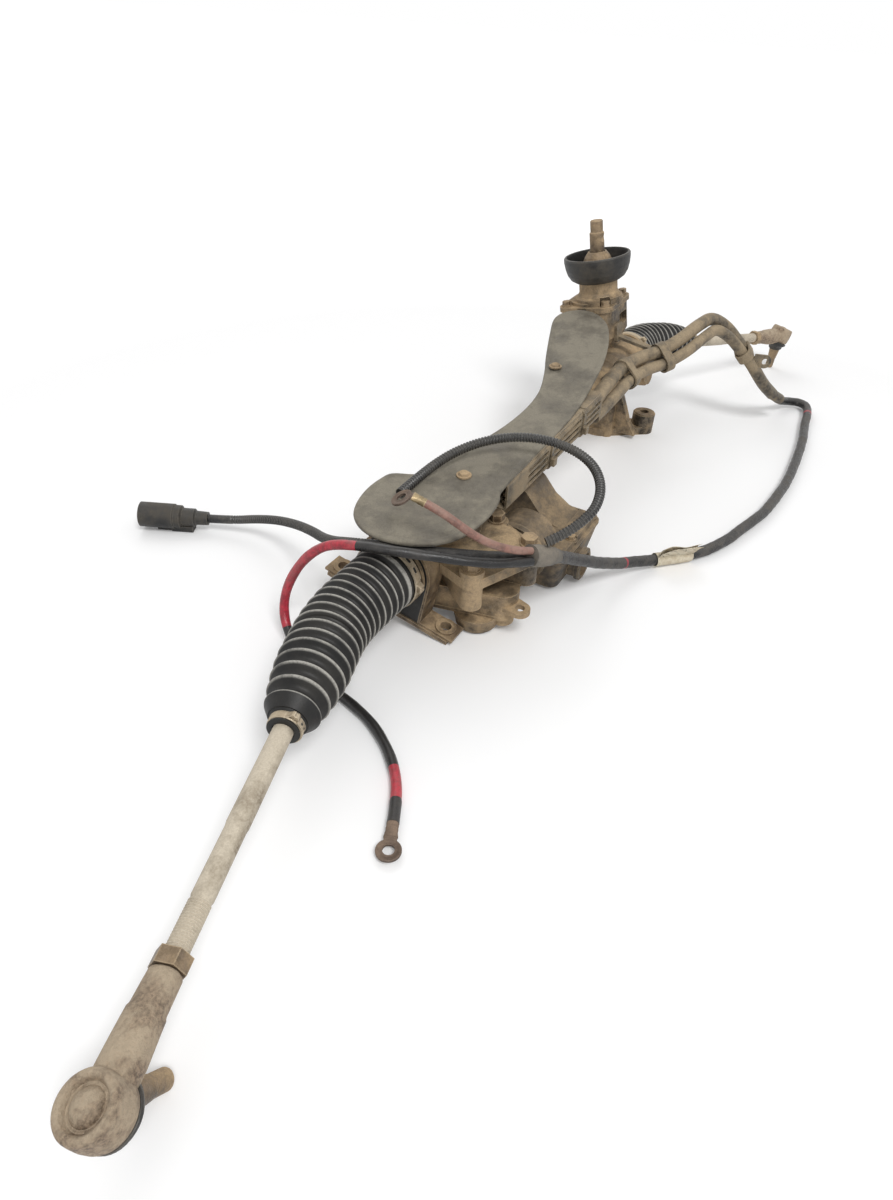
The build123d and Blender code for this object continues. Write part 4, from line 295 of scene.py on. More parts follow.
class Shape:
    """Points and faces of one piece, gathered part by part, in millimetres of the rack's frame."""

    def __init__(self):
        self.points = []
        self.faces = []
        self.looks = []
        self.marks = []

    def rings(self, rings, closed=False, capped=True, look=0, marks=None):
        """Skin over rings of points that all have the same count."""
        first = len(self.points)
        count = len(rings[0])
        for number, ring in enumerate(rings):
            self.points.extend(ring)
            self.marks.extend([marks[number] if marks else 0.0] * count)
        spans = len(rings) if closed else len(rings) - 1
        for number in range(spans):
            low = first + number * count
            high = first + (number + 1) % len(rings) * count
            for corner in range(count):
                after = (corner + 1) % count
                self.faces.append((low + corner, low + after, high + after, high + corner))
                self.looks.append(look(number) if callable(look) else look)
        if capped and not closed:
            self.faces.append(tuple(first + corner for corner in reversed(range(count))))
            last = first + (len(rings) - 1) * count
            self.faces.append(tuple(last + corner for corner in range(count)))
            self.looks.extend([look(0) if callable(look) else look] * 2)

    def turned(self, origin, axis, outline, around=40, closed=False, look=0):
        """Outline of (radius, height) pairs turned about an axis through the origin."""
        axis = Vector(axis).normalized()
        side = axis.orthogonal().normalized()
        other = axis.cross(side)
        rings = []
        for radius, height in outline:
            middle = Vector(origin) + axis * height
            rings.append([
                middle + (side * math.cos(angle) + other * math.sin(angle)) * max(radius, 0.01)
                for angle in circle(around)
            ])
        self.rings(rings, closed=closed, look=look)

    def loft(self, sections, around=24, power=1.0, look=0):
        """Skin over rounded sections, each a centre, two half widths as vectors."""
        rings = []
        for middle, wide, high in sections:
            ring = []
            for angle in circle(around):
                across = math.cos(angle)
                along = math.sin(angle)
                across = math.copysign(abs(across) ** power, across)
                along = math.copysign(abs(along) ** power, along)
                ring.append(Vector(middle) + Vector(wide) * across + Vector(high) * along)
            rings.append(ring)
        self.rings(rings, look=look)

    def tube(self, line, radius, around=16, look=0, swell=None):
        """Round tube along a line of points. The radius may depend on the distance along it."""
        rings = []
        distances = [0.0]
        for before, after in zip(line, line[1:]):
            distances.append(distances[-1] + (after - before).length)
        side = None
        for number, point in enumerate(line):
            ahead = line[min(number + 1, len(line) - 1)]
            behind = line[max(number - 1, 0)]
            tangent = (ahead - behind).normalized()
            side = tangent.orthogonal() if side is None else side - tangent * side.dot(tangent)
            side.normalize()
            other = tangent.cross(side)
            size = radius(distances[number]) if callable(radius) else radius
            ring = []
            for angle in circle(around):
                here = size if swell is None else size + swell(distances[number], angle)
                ring.append(point + (side * math.cos(angle) + other * math.sin(angle)) * here)
            rings.append(ring)
        pick = (lambda number: look(distances[number])) if callable(look) else look
        self.rings(rings, look=pick)

    def piece(self, name, body, looks):
        """Finished object, which rides on a body where one is given."""
        mesh = bpy.data.meshes.new(name)
        mesh.from_pydata([at(point) for point in self.points], [], self.faces)
        for look in looks:
            mesh.materials.append(MATERIALS[look])
        for face, number in zip(mesh.polygons, self.looks):
            face.material_index = number
            face.use_smooth = True
        # each point's share of the painted crest highlight, which the bellows' material reads
        crest_highlight = mesh.attributes.new("crest_highlight", "FLOAT", "POINT")
        crest_highlight.data.foreach_set("value", self.marks)
        builder = bmesh.new()
        builder.from_mesh(mesh)
        bmesh.ops.recalc_face_normals(builder, faces=builder.faces)
        builder.to_mesh(mesh)
        builder.free()
        mesh.update()
        obj = bpy.data.objects.new(name, mesh)
        bpy.context.scene.collection.objects.link(obj)
        mesh.set_sharp_from_angle(angle=SHARP)
        if body:
            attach(obj, body)
        return obj


def thicken(piece, wall, offset):
    """Give a sheet a wall, in metres, to its inner side (-1) or to both sides (0)."""
    sheet = piece.modifiers.new("wall", "SOLIDIFY")
    sheet.thickness = wall
    sheet.offset = offset


# ---------------------------------------------------------------- tie rods, bellows and boots
HOUSING_END = 300.0         # from the rack's middle
NEAR_BALL = Vector((-368, 0, 0))
FAR_BALL = Vector((338, 0, 0))


def rod_way(yaw, droop, side):
    """Direction of a tie rod, turned back by yaw and down by droop, in degrees."""
    turn = math.radians(yaw)
    fall = math.radians(droop)
    level = math.cos(fall)
    return Vector((side * math.cos(turn) * level, -math.sin(turn) * level, -math.sin(fall)))


NEAR_WAY = rod_way(19.1, -0.58, -1)
FAR_WAY = rod_way(23.5, 9.375, 1)
ROD_LENGTH = 355.0          # from the inner ball to the outer one
NEAR_STUD = Vector((0.60, 0.06, -0.80)).normalized()
FAR_STUD = Vector((0.09, 0.06, -0.99)).normalized()
HEAD_LEAN = math.radians(12.0)
SHANK_SLOPE = math.radians(16)
BALL_R = 14.5
GRIP = 109.0                # start of the bellows' small cuff, along the tie rod
BEND = 25                   # length over which a bellows bends, on each side of the ball
FOLD = 10.3                 # pitch of the folds
STEP = FOLD / 12            # spacing of the rings of points along a bellows
CREST_R = 30.0              # outer radius of the first folds
CREST_FALL = 1.2            # how much smaller the crests are at the small end
CLOSING_FOLDS = 5           # the last folds close in towards the cone
CLOSING_FALL = 7.6
FOLD_DEPTH = 3.6            # from crest to root at the big end
FOLD_DEEPER = 1.6           # more than that at the small end
LEAD_SHARE = 0.02           # plain sleeve at the big end, as a share of the length
TAIL_SHARE = 0.055          # cone at the small end
CUFF_R = 14.6
BELLOWS_WALL = 1.4


def bellows_line(side, ball, rod):
    """Middle line of a bellows: off the housing, round the inner ball and along the rod."""
    start = Vector((side * HOUSING_END, 0, 0))
    before = ball - Vector((side * BEND, 0, 0))
    after = ball + rod * BEND
    points = [start.lerp(before, step / 24) for step in range(24)]
    for step in range(33):
        share = step / 32
        points.append(before.lerp(ball, share).lerp(ball.lerp(after, share), share))
    last = ball + rod * GRIP
    points.extend(after.lerp(last, (step + 1) / 60) for step in range(60))
    return points


def walk(points, step):
    """Points at even steps along a line of points, with the distance of each."""
    spaced = []
    travelled = 0.0
    wanted = 0.0
    for before, after in zip(points, points[1:]):
        run = (after - before).length
        while wanted <= travelled + run + 1e-9 and run > 1e-9:
            spaced.append((before.lerp(after, (wanted - travelled) / run), wanted))
            wanted += step
        travelled += run
    return spaced, travelled


def bellows_piece(name, side, ball, rod, low, high, total, spaced, ends):
    """Stretch of a bellows between two distances."""
    count = round(total / FOLD)
    lead = LEAD_SHARE * total
    tail = TAIL_SHARE * total
    pitch = (total - lead - tail) / (count - 1)
    plane = Vector((side, 0, 0)).cross(rod).normalized()
    outer = []
    inner = []
    marks = []
    places = [point for point, distance in spaced]
    chosen = [number for number, item in enumerate(spaced) if low - 1e-6 <= item[1] <= high + 1e-6]
    for number in chosen:
        point, distance = spaced[number]
        ahead = places[min(number + 1, len(places) - 1)]
        tangent = (ahead - places[max(number - 1, 0)]).normalized()
        across = plane.cross(tangent)
        share = min(1.0, max(0.0, (distance - lead) / (total - lead - tail)))
        closing = min(1.0, max(0.0, 1 - (total - tail - distance) / (CLOSING_FOLDS * pitch)))
        crest = CREST_R - CREST_FALL * share - CLOSING_FALL * closing ** 1.7
        # the folds open up towards the small end, and a peak of one is a crest
        turn = (count - 1) * share * (1.2 - 0.2 * share)
        peak = 0.5 + 0.5 * math.cos(2 * math.pi * turn)
        if distance < lead:
            peak = 1.0
        radius = crest - (FOLD_DEPTH + FOLD_DEEPER * share) * (1 - peak ** 1.6)
        if distance > total - tail:
            slant = (distance - total + tail) / tail
            radius = crest - slant * (crest - CUFF_R)
            peak = max(0.0, 1 - 4 * slant)
        for wall, size in ((outer, radius), (inner, radius - BELLOWS_WALL)):
            wall.append([
                point + (across * math.cos(angle) + plane * math.sin(angle)) * size for angle in circle(64)
            ])
        # share of the painted crest highlight at this ring
        marks.append(peak ** 5)
    shape = Shape()
    shape.rings(outer + inner[::-1], closed=True, marks=marks + [0.0] * len(inner))
    if "mouth" in ends:
        shape.turned((side * HOUSING_END, 0, 0), (-side, 0, 0), [
            (28.1, -0.5), (30.0, -0.5), (30.5, 0.2), (30.5, 1.5), (29.8, 2.2), (29.8, 11.4),
            (30.6, 12.0), (30.6, 13.0), (30.0, 13.6), (28.1, 13.6),
        ], around=64, closed=True)
    if "grip" in ends:
        shape.turned(ball + rod * GRIP, rod, [
            (8.0, -1.5), (14.4, -1.2), (13.4, 0.4), (11.9, 1.4), (11.5, 2.2), (11.5, 7.6), (12.2, 8.1),
            (12.2, 8.8), (11.6, 9.2), (8.0, 9.2),
        ], around=48, closed=True)
    piece = shape.piece(name, None, ["bellows_rubber"])
    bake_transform(piece)
    return piece


def bellows(side_name, side, ball, rod, first, second):
    """Three stretches of a bellows, cut at the distances first and second along it."""
    spaced, total = walk(bellows_line(side, ball, rod), STEP)
    cuts = (0.0, spaced[round(first / STEP)][1], spaced[round(second / STEP)][1], total)
    ends = ({"mouth"}, set(), {"grip"})
    for number in range(3):
        piece = bellows_piece(
            f"{side_name}_bellows_{number + 1}", side, ball, rod, cuts[number], cuts[number + 1], total,
            spaced, ends[number],
        )
        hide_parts(side_name + "_bellows")


bellows("near", -1, NEAR_BALL, NEAR_WAY, 90, 120)
bellows("far", 1, FAR_BALL, FAR_WAY, 58, 84)


SHAFT_R = 7.5
THREAD_R = 7.0
ROOT_R = 6.3
THREAD_FROM = 249.0
THREAD_PITCH = 1.75
ROD_SHORT = 28              # the rod ends this far before the outer ball


def tie_rod(side_name, ball, rod):
    """Tie rod with its neck, plain shaft and rolled thread."""
    shape = Shape()
    outline = [
        (0, 0), (6, 0), (6, 30), (SHAFT_R, 36), (SHAFT_R, 196), (7.2, 198), (THREAD_R, 200),
        (THREAD_R, THREAD_FROM - 3), (ROOT_R, THREAD_FROM - 1),
    ]
    turn = THREAD_FROM
    while turn < ROD_LENGTH - ROD_SHORT - 2:
        outline.extend(((ROOT_R, turn), (THREAD_R, turn + 0.65)))
        outline.extend(((THREAD_R, turn + 0.95), (ROOT_R, turn + 1.6)))
        turn += THREAD_PITCH
    outline.extend(((ROOT_R, ROD_LENGTH - ROD_SHORT), (0, ROD_LENGTH - ROD_SHORT)))
    shape.turned(ball, rod, outline, around=32)
    slices = [math.pi * step / 24 for step in range(25)]
    dome = [(BALL_R * math.sin(angle), -BALL_R * math.cos(angle)) for angle in slices]
    shape.turned(ball, rod, dome, around=40)
    piece = shape.piece(side_name + "_rod_turned", side_name + "_rod", ["rod"])
    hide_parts(side_name + "_tie_rod")


tie_rod("near", NEAR_BALL, NEAR_WAY)
tie_rod("far", FAR_BALL, FAR_WAY)


def head_way(rod, stud):
    """Axis of a rod end's drum: square to the rod on the stud's side, and leaning back a little."""
    square = (stud - rod * stud.dot(rod)).normalized()
    return square * math.cos(HEAD_LEAN) - rod * math.sin(HEAD_LEAN)


BOOT_WALL = 0.0012          # in metres
BOOT_FOOT = 7.7             # height of the boot's foot above the outer ball
BOOT_TURN = 10.0            # height over which the boot turns from the head's axis to the stud's


def dust_boot(side_name, ball, rod, stud):
    """Bulged rubber boot between the rod end's face and the stud's collar."""
    end = ball + rod * ROD_LENGTH
    head = head_way(rod, stud)
    side = head.orthogonal().normalized()
    outline = [
        (15.2, BOOT_FOOT), (16.2, 8.4), (16.6, 9.8), (16.0, 11.4), (14.6, 12.8), (12.6, 14.0), (11.2, 15.6),
        (10.6, 17.2), (10.4, 18.4), (10.2, 19.6), (9.4, 20.2), (8.2, 20.2),
    ]
    rings = []
    for radius, height in outline:
        share = min(1.0, max(0.0, (height - BOOT_FOOT) / BOOT_TURN))
        normal = head.lerp(stud, share).normalized()
        side = (side - normal * side.dot(normal)).normalized()
        other = normal.cross(side)
        rings.append([
            end + normal * height + (side * math.cos(angle) + other * math.sin(angle)) * radius
            for angle in circle(40)
        ])
    shape = Shape()
    shape.rings(rings, capped=False)
    piece = shape.piece(side_name + "_boot_skin", None, ["rubber"])
    thicken(piece, BOOT_WALL, -1)
    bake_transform(piece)
    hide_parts(side_name + "_dust_boot")


def rod_end(side_name, ball, rod, stud):
    """Forged rod end: a drum with a rolled rim and a domed cap, and a flattened shank with a step."""
    end = ball + rod * ROD_LENGTH
    head = head_way(rod, stud)
    shape = Shape()
    shape.turned(end, head, [
        (0, -15.8), (2.5, -15.6), (5.0, -14.9), (7.0, -13.6), (8.2, -12.2), (8.8, -10.8), (10.2, -10.8),
        (10.9, -12.4), (11.5, -13.8), (12.6, -14.6), (14.0, -14.6), (15.2, -13.8), (15.9, -12.2),
        (16.3, -9), (16.8, -2), (16.6, 4), (16.2, 6.4), (15.2, 7.4), (12.2, 7.4), (9.6, 6.3),
        (11.35, 0), (9.8, -5.6), (5.6, -9.8), (0, -11.3),
    ], around=64)
    back = rod * -1
    wide = back.cross(head).normalized()
    high = wide.cross(back).normalized()
    sections = []
    for distance, across, along in (
        (11.8, 10.9, 13.0), (16, 11.0, 13.2), (22, 10.9, 12.9), (30, 10.7, 12.2), (38, 10.5, 11.4),
        (44, 10.4, 10.8), (45.2, 9.9, 10.2), (46.4, 9.7, 9.9), (56, 9.5, 9.6), (64.2, 9.3, 9.3),
        (65.6, 8.6, 8.6), (66, 7.8, 7.8),
    ):
        # the forging isn't quite straight
        middle = end + back * distance + high * 0.4 * math.sin(distance / 9)
        sections.append((middle, wide * across, high * along))
    shank = Shape()
    shank.loft(sections, around=40, power=0.9)
    piece = shape.piece(side_name + "_head", side_name + "_rod", ["forging"])
    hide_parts(side_name + "_rod_end")
    piece = shank.piece(side_name + "_shank", None, ["forging"])
    # the stud's side of the shank is sloped off beside the head, so that the stud can swing
    slope = way(high * math.cos(SHANK_SLOPE) - back * math.sin(SHANK_SLOPE))
    builder = bmesh.new()
    builder.from_mesh(piece.data)
    cut = bmesh.ops.bisect_plane(
        builder, geom=builder.verts[:] + builder.edges[:] + builder.faces[:], clear_outer=True,
        plane_co=at(end + head * 5.2 + back * 12), plane_no=slope,
    )
    rim = [item for item in cut["geom_cut"] if isinstance(item, bmesh.types.BMEdge)]
    bmesh.ops.holes_fill(builder, edges=rim)
    builder.to_mesh(piece.data)
    builder.free()
    piece.data.set_sharp_from_angle(angle=SHARP)
    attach(piece, side_name + "_rod")
    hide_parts(side_name + "_rod_end")


for build in (rod_end, dust_boot):
    build("near", NEAR_BALL, NEAR_WAY, NEAR_STUD)
    build("far", FAR_BALL, FAR_WAY, FAR_STUD)

# ---------------------------------------------------------------- heat shield
SHIELD_EDGE = (
    (-216, 45), (-230, 49), (-250, 49), (-272, 44), (-290, 35), (-303, 20), (-309, 2), (-307, -16),
    (-300, -34), (-288, -49), (-270, -59), (-248, -63), (-224, -63), (-203, -59), (-190, -54),
    (-160, -52), (-120, -51), (-70, -50), (-20, -48), (25, -43), (66, -38), (104, -32), (136, -24),
    (163, -14), (185, -2), (200, 14), (205, 32), (199, 48), (186, 59), (168, 61), (140, 52), (110, 41),
    (84, 31), (58, 20), (24, 9), (-20, 2), (-74, 2), (-134, 9), (-176, 14), (-198, 18), (-207, 28),
)
SHIELD_TOP = 51.2           # height of the sheet's top above the rack's axis
SHEET_WALL = 0.0011         # in metres
GRID = 12                   # spacing of the lines along which the sheet can dent
BEAD_Y = -24                # a pressed bead runs along the near part
BEAD_HALF = 5.5
BEAD_HIGH = 1.3
RISE = 0.16                 # slope of the far part, which climbs to the tower
RISE_FROM = 20


def smooth_loop(points, pieces):
    """Closed smooth line through points in a plane."""
    loop = []
    for number in range(len(points)):
        near = [Vector(points[(number + step) % len(points)]) for step in (-1, 0, 1, 2)]
        before, first, second, after = near
        slope = second - before
        curve = 2 * before - 5 * first + 4 * second - after
        twist = 3 * first - before - 3 * second + after
        for step in range(pieces):
            share = step / pieces
            loop.append(0.5 * (2 * first + slope * share + curve * share ** 2 + twist * share ** 3))
    return loop


def heat_shield():
    """Thin pressed sheet: a rolled-down edge, a shallow groove inside it, a bead and gentle dents."""
    loop = smooth_loop(SHIELD_EDGE, 4)
    builder = bmesh.new()
    rings = []
    for inset, height in (
        (0.0, -3.2), (0.0, -2.0), (0.35, -1.0), (1.1, -0.3), (2.2, 0.0), (5.0, 0.05), (6.2, -0.45),
        (7.6, -0.6), (9.4, -0.25), (11.0, 0.0),
    ):
        ring = []
        for number, point in enumerate(loop):
            along = loop[(number + 1) % len(loop)] - loop[number - 1]
            inward = Vector((along.y, -along.x)).normalized()
            spot = point - inward * inset
            ring.append(builder.verts.new((spot.x, spot.y, height)))
        rings.append(ring)
    for low, high in zip(rings, rings[1:]):
        for number in range(len(loop)):
            after = (number + 1) % len(loop)
            builder.faces.new((low[number], low[after], high[after], high[number]))
    builder.faces.new(rings[-1])
    for axis, first, last in ((0, -292, 212), (1, -60, 60)):
        normal = Vector((0, 0, 0))
        normal[axis] = 1
        for step in range(first, last, GRID):
            bmesh.ops.bisect_plane(builder, geom=builder.verts[:] + builder.edges[:] + builder.faces[:],
                                   plane_co=normal * step, plane_no=normal)
    for vertex in builder.verts:
        x, y, height = vertex.co
        rise = RISE * max(0.0, x - RISE_FROM)
        dent = 0.22 * (math.sin(x / 31) + math.sin(y / 17 + x / 53) - 2)
        bead = 0.0
        if -152 < x < 12:
            bead = BEAD_HIGH * max(0.0, 1 - ((y - BEAD_Y) / BEAD_HALF) ** 2)
        vertex.co = at((x, y, SHIELD_TOP + rise + height + dent + bead))
    bmesh.ops.recalc_face_normals(builder, faces=builder.faces)
    mesh = bpy.data.meshes.new("pressed_shield")
    builder.to_mesh(mesh)
    builder.free()
    mesh.materials.append(MATERIALS["shield"])
    for face in mesh.polygons:
        face.use_smooth = True
    obj = bpy.data.objects.new("pressed_shield", mesh)
    bpy.context.scene.collection.objects.link(obj)
    thicken(obj, SHEET_WALL, -1)
    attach(obj, "housing")
    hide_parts("heat_shield")


heat_shield()

# ---------------------------------------------------------------- clamps and wires in the duct


def band_clamp(name, body, node, middle, axis, radius, width, ear_way):
    """Stepless ear clamp: a thin band with an overlapped end, a pinched ear and small windows."""
    axis = Vector(axis).normalized()
    ear_way = (Vector(ear_way) - axis * axis.dot(Vector(ear_way))).normalized()
    tangent = axis.cross(ear_way)
    shape = Shape()
    shape.turned(middle, axis, [
        (radius, 0.2), (radius + 0.2, 0), (radius + 0.9, 0.1), (radius + 1.1, 0.4),
        (radius + 1.1, width - 0.4), (radius + 0.9, width - 0.1), (radius + 0.2, width),
        (radius, width - 0.2),
    ], around=72, closed=True)
    middle = Vector(middle) + axis * width / 2
    rings = []
    for step in range(25):
        angle = math.radians(-14 - 5 * step)
        out = ear_way * math.cos(angle) + tangent * math.sin(angle)
        half = width / 2 * (0.98 if step < 22 else 0.98 - 0.2 * (step - 21))
        low = middle + out * (radius + 0.9)
        high = middle + out * (radius + (1.9 if step < 24 else 1.2))
        rings.append([low - axis * half, high - axis * half, high + axis * half, low + axis * half])
    shape.rings(rings)
    arch = []
    for along, height in (
        (-6.2, 0.6), (-4.6, 1.0), (-3.4, 3.4), (-2.7, 4.6), (-1.4, 5.0), (0, 4.2), (1.4, 5.0),
        (2.7, 4.6), (3.4, 3.4), (4.6, 1.0), (6.2, 0.6),
    ):
        foot = middle + ear_way * (math.sqrt(radius ** 2 - along ** 2) + 0.6 + height / 2) + tangent * along
        narrow = 0.5 if abs(along) > 5 else (0.38 if height > 3 else 0.45)
        arch.append((foot, axis * width * narrow, ear_way * height / 2))
    shape.loft(arch, around=20, power=0.35)
    for degrees in (-32, -50, -68, -86):
        angle = math.radians(degrees)
        out = ear_way * math.cos(angle) + tangent * math.sin(angle)
        run = axis.cross(out)
        here = middle + out * (radius + 1.93)
        window = (axis * width * 0.16, run * radius * 0.09)
        shape.loft([(here - out * 0.5, *window), (here + out * 0.05, *window)], around=20, power=0.5, look=1)
    piece = shape.piece(name, body, ["clamp_steel", "hollow"])
    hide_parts(node)


BIG_CLAMP_X = 296.5         # inner edge of the band, from the rack's middle
BIG_CLAMP_R = 30.5
CUFF_CLAMP_R = 11.6
band_clamp("near_big_clamp", "housing", "bellows_clamps", (-BIG_CLAMP_X, 0, 0), (1, 0, 0),
           BIG_CLAMP_R, 8, (0, -1, -0.02))
band_clamp("far_big_clamp", "housing", "bellows_clamps", (BIG_CLAMP_X, 0, 0), (-1, 0, 0),
           BIG_CLAMP_R, 8, (0, -0.6, 0.8))
band_clamp("near_cuff_clamp", "near_rod", "near_small_clamp", NEAR_BALL + NEAR_WAY * (GRIP + 1), NEAR_WAY,
           CUFF_CLAMP_R, 6.4, (0.3, -0.5, 0.8))
band_clamp("far_cuff_clamp", "far_rod", "far_small_clamp", FAR_BALL + FAR_WAY * (GRIP + 1), FAR_WAY,
           CUFF_CLAMP_R, 6.4, (-0.3, -0.5, 0.8))

DUCT_WIRES = ((-45.5, 22.6), (-44.2, 27.4), (-45.8, 31.6), (-44.4, 36.2), (-45.6, 40.4))
WIRE_R = 1.6
shape = Shape()
for number, (wire_y, wire_z) in enumerate(DUCT_WIRES):
    run = []
    for x in range(-166, 57, 3):
        sway = 0.8 * math.sin(x / 13 + 2 * number)
        sag = 0.9 * math.sin(x / 17 + 1.3 * number)
        run.append(Vector((x, wire_y + sway, wire_z + sag)))
    shape.tube(run, WIRE_R, around=10, look=number % 2)
wires = shape.piece("duct_wires", "housing", ["tan_wire", "dark_wire"])

# ---------------------------------------------------------------- cords
ROUTES = {
    "harness_trunk": (
        (441, -180.4, -66.8), (466, -189, -85), (490, -197, -92), (504, -212, -95), (497, -226, -95),
        (470, -233, -94), (415, -238, -92), (358, -246, -89), (300, -249, -86), (240, -252, -83),
        (185, -250, -80), (130, -246, -77), (78, -234, -74), (30, -222, -72), (-12, -203, -70),
        (-52, -168, -66), (-95, -146, -53), (-137, -131, -31), (-172, -121, -9), (-198, -117, 8),
    ),
    "connector_lead": (
        (-233.6, -99.6, 23.3), (-252, -86, 28), (-271, -66, 34), (-289, -42, 39), (-303, -17, 42),
        (-311, 7, 41), (-311, 28, 35), (-303, 48, 24), (-288, 72, 10), (-271, 98, -2), (-255, 130, -15),
        (-244, 165, -28), (-241, 198, -40), (-247, 226, -48), (-257, 250, -49),
    ),
    "power_lead": (
        (-237.2, -108.9, 23.5), (-258, -97, 29), (-278, -78, 35), (-298, -53, 43), (-315, -24, 48),
        (-324, 5, 48), (-326, 34, 40), (-328, 54, 24), (-333, 68, 4), (-340, 76, -18), (-348, 74, -38),
        (-358, 60, -50.5), (-372, 36, -53.3), (-386, 6, -52.6), (-392, -26, -52), (-402, -58, -51.7),
        (-422, -88, -50.8), (-447, -111, -49.5), (-474, -124, -48),
    ),
    "conduit_loop": (
        (-216.5, -112, 31.8), (-206, -122, 37), (-192, -131, 44), (-172, -137, 51), (-145, -130, 58),
        (-124, -112, 64), (-115, -86, 68), (-118, -58, 71), (-130, -32, 71), (-150, -10, 68), (-174, 4, 64),
        (-196, 11, 60), (-222, 14, 57), (-250, 14, 56),
    ),
    "ground_lead": (
        (-232.4, -105.3, 29.9), (-245, -102, 36), (-259, -95, 44), (-272, -86, 53), (-281, -74, 63),
        (-286, -61, 73), (-290, -49, 81), (-293, -38, 86),
    ),
}


def route_line(name, step):
    """Points along the smooth line of a route, in millimetres of the rack's frame, at even steps."""
    data = bpy.data.curves.new(name + "_line", "CURVE")
    data.dimensions = "3D"
    data.resolution_u = 16
    spline = data.splines.new("NURBS")
    spline.points.add(len(ROUTES[name]) - 1)
    for knot, point in zip(spline.points, ROUTES[name]):
        knot.co = (*point, 1)
    spline.order_u = 3
    spline.use_endpoint_u = True
    guide = bpy.data.objects.new(name + "_line", data)
    mesh = bpy.data.meshes.new_from_object(guide)
    points = [vertex.co.copy() for vertex in mesh.vertices]
    bpy.data.objects.remove(guide)
    bpy.data.meshes.remove(mesh)
    line = [point for point, distance in walk(points, step)[0]]
    if (line[-1] - points[-1]).length > 0.3 * step:
        line.append(points[-1])
    else:
        line[-1] = points[-1]
    return line


RIDGE_PITCH = 3.0
RIDGE_DEPTH = 0.85


def ridged(distance, radius):
    """Radius of split conduit with round ridges."""
    return radius - RIDGE_DEPTH * (0.5 - 0.5 * math.cos(2 * math.pi * distance / RIDGE_PITCH))


def taped(lap, lift):
    """Uneven skin of tape, wound at a slant, as a swelling that depends on the distance and angle."""
    def swell(distance, angle):
        turn = (distance / lap + angle / (2 * math.pi)) % 1.0
        lumps = 0.3 * math.sin(distance / 9.0) * math.cos(angle + distance / 23.0)
        return lift * (1 - turn) ** 3 + lumps - 0.2
    return swell


def cord(name, shape, looks):
    """Build a finished cord on the housing and set it in place of its CAD solid."""
    piece = shape.piece(name + "_cord", "housing", looks)
    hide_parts(name)
    [at(point) for point in route_line(name, 4.0)]


def ring_end(name, lead, lead_r, facing, looks, bend=0.0):
    """Crimped ring terminal: a barrel with two crimps, a flat neck and a ring with a raised rim.

    The neck and the ring are bent down from the barrel by bend, in radians.
    """
    tip = Vector(ROUTES[lead][-1])
    along = (tip - Vector(ROUTES[lead][-2])).normalized()
    level = Vector(facing).cross(along).normalized()
    normal = along.cross(level)
    shape = Shape()
    sections = []
    for distance, wide, high in (
        (0.2, lead_r, lead_r), (1.5, lead_r + 0.2, lead_r + 0.2), (3, lead_r, lead_r * 0.86),
        (4.5, lead_r + 0.3, lead_r), (7, lead_r + 0.1, lead_r * 0.8), (9, lead_r + 0.5, lead_r * 0.8),
        (11.5, lead_r + 0.9, 2.0),
    ):
        sections.append((tip + along * distance, level * wide, normal * high))
    shape.loft(sections, around=28, power=0.85)
    ahead = (along * math.cos(bend) - normal * math.sin(bend)).normalized()
    face = (normal * math.cos(bend) + along * math.sin(bend)).normalized()
    knee = tip + along * 11.5
    neck = [(knee - along * 1.0, level * (lead_r + 0.9), normal * 1.9)]
    for distance, more, high in ((0.8, 0.6, 1.5), (2.2, 0.4, 1.3), (4.0, 1.0, 1.2)):
        neck.append((knee + ahead * distance, level * (lead_r + more), face * high))
    shape.loft(neck, around=28, power=0.85, look=1)
    shape.turned(knee + ahead * 10.5, face, [
        (4.2, -0.9), (4.5, -1.2), (8.6, -1.2), (9.0, -0.8), (9.0, 0.8), (8.6, 1.2), (6.6, 1.2), (6.2, 0.9),
        (4.9, 0.9), (4.5, 1.2), (4.2, 1.0),
    ], around=44, closed=True, look=1)
    piece = shape.piece(name, "housing", looks)
    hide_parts("ring_terminals")
    return piece


LABEL_FROM = 6              # stretch of the trunk that the label covers, from its start point
LABEL_TO = 52
LABEL_R = 6.9
LEAF_FROM = 6.3             # reach of the leaves from the trunk's middle
LEAF_LONG = 19.5
LEAF_SPANS = 14
FILM = 0.0003               # in metres


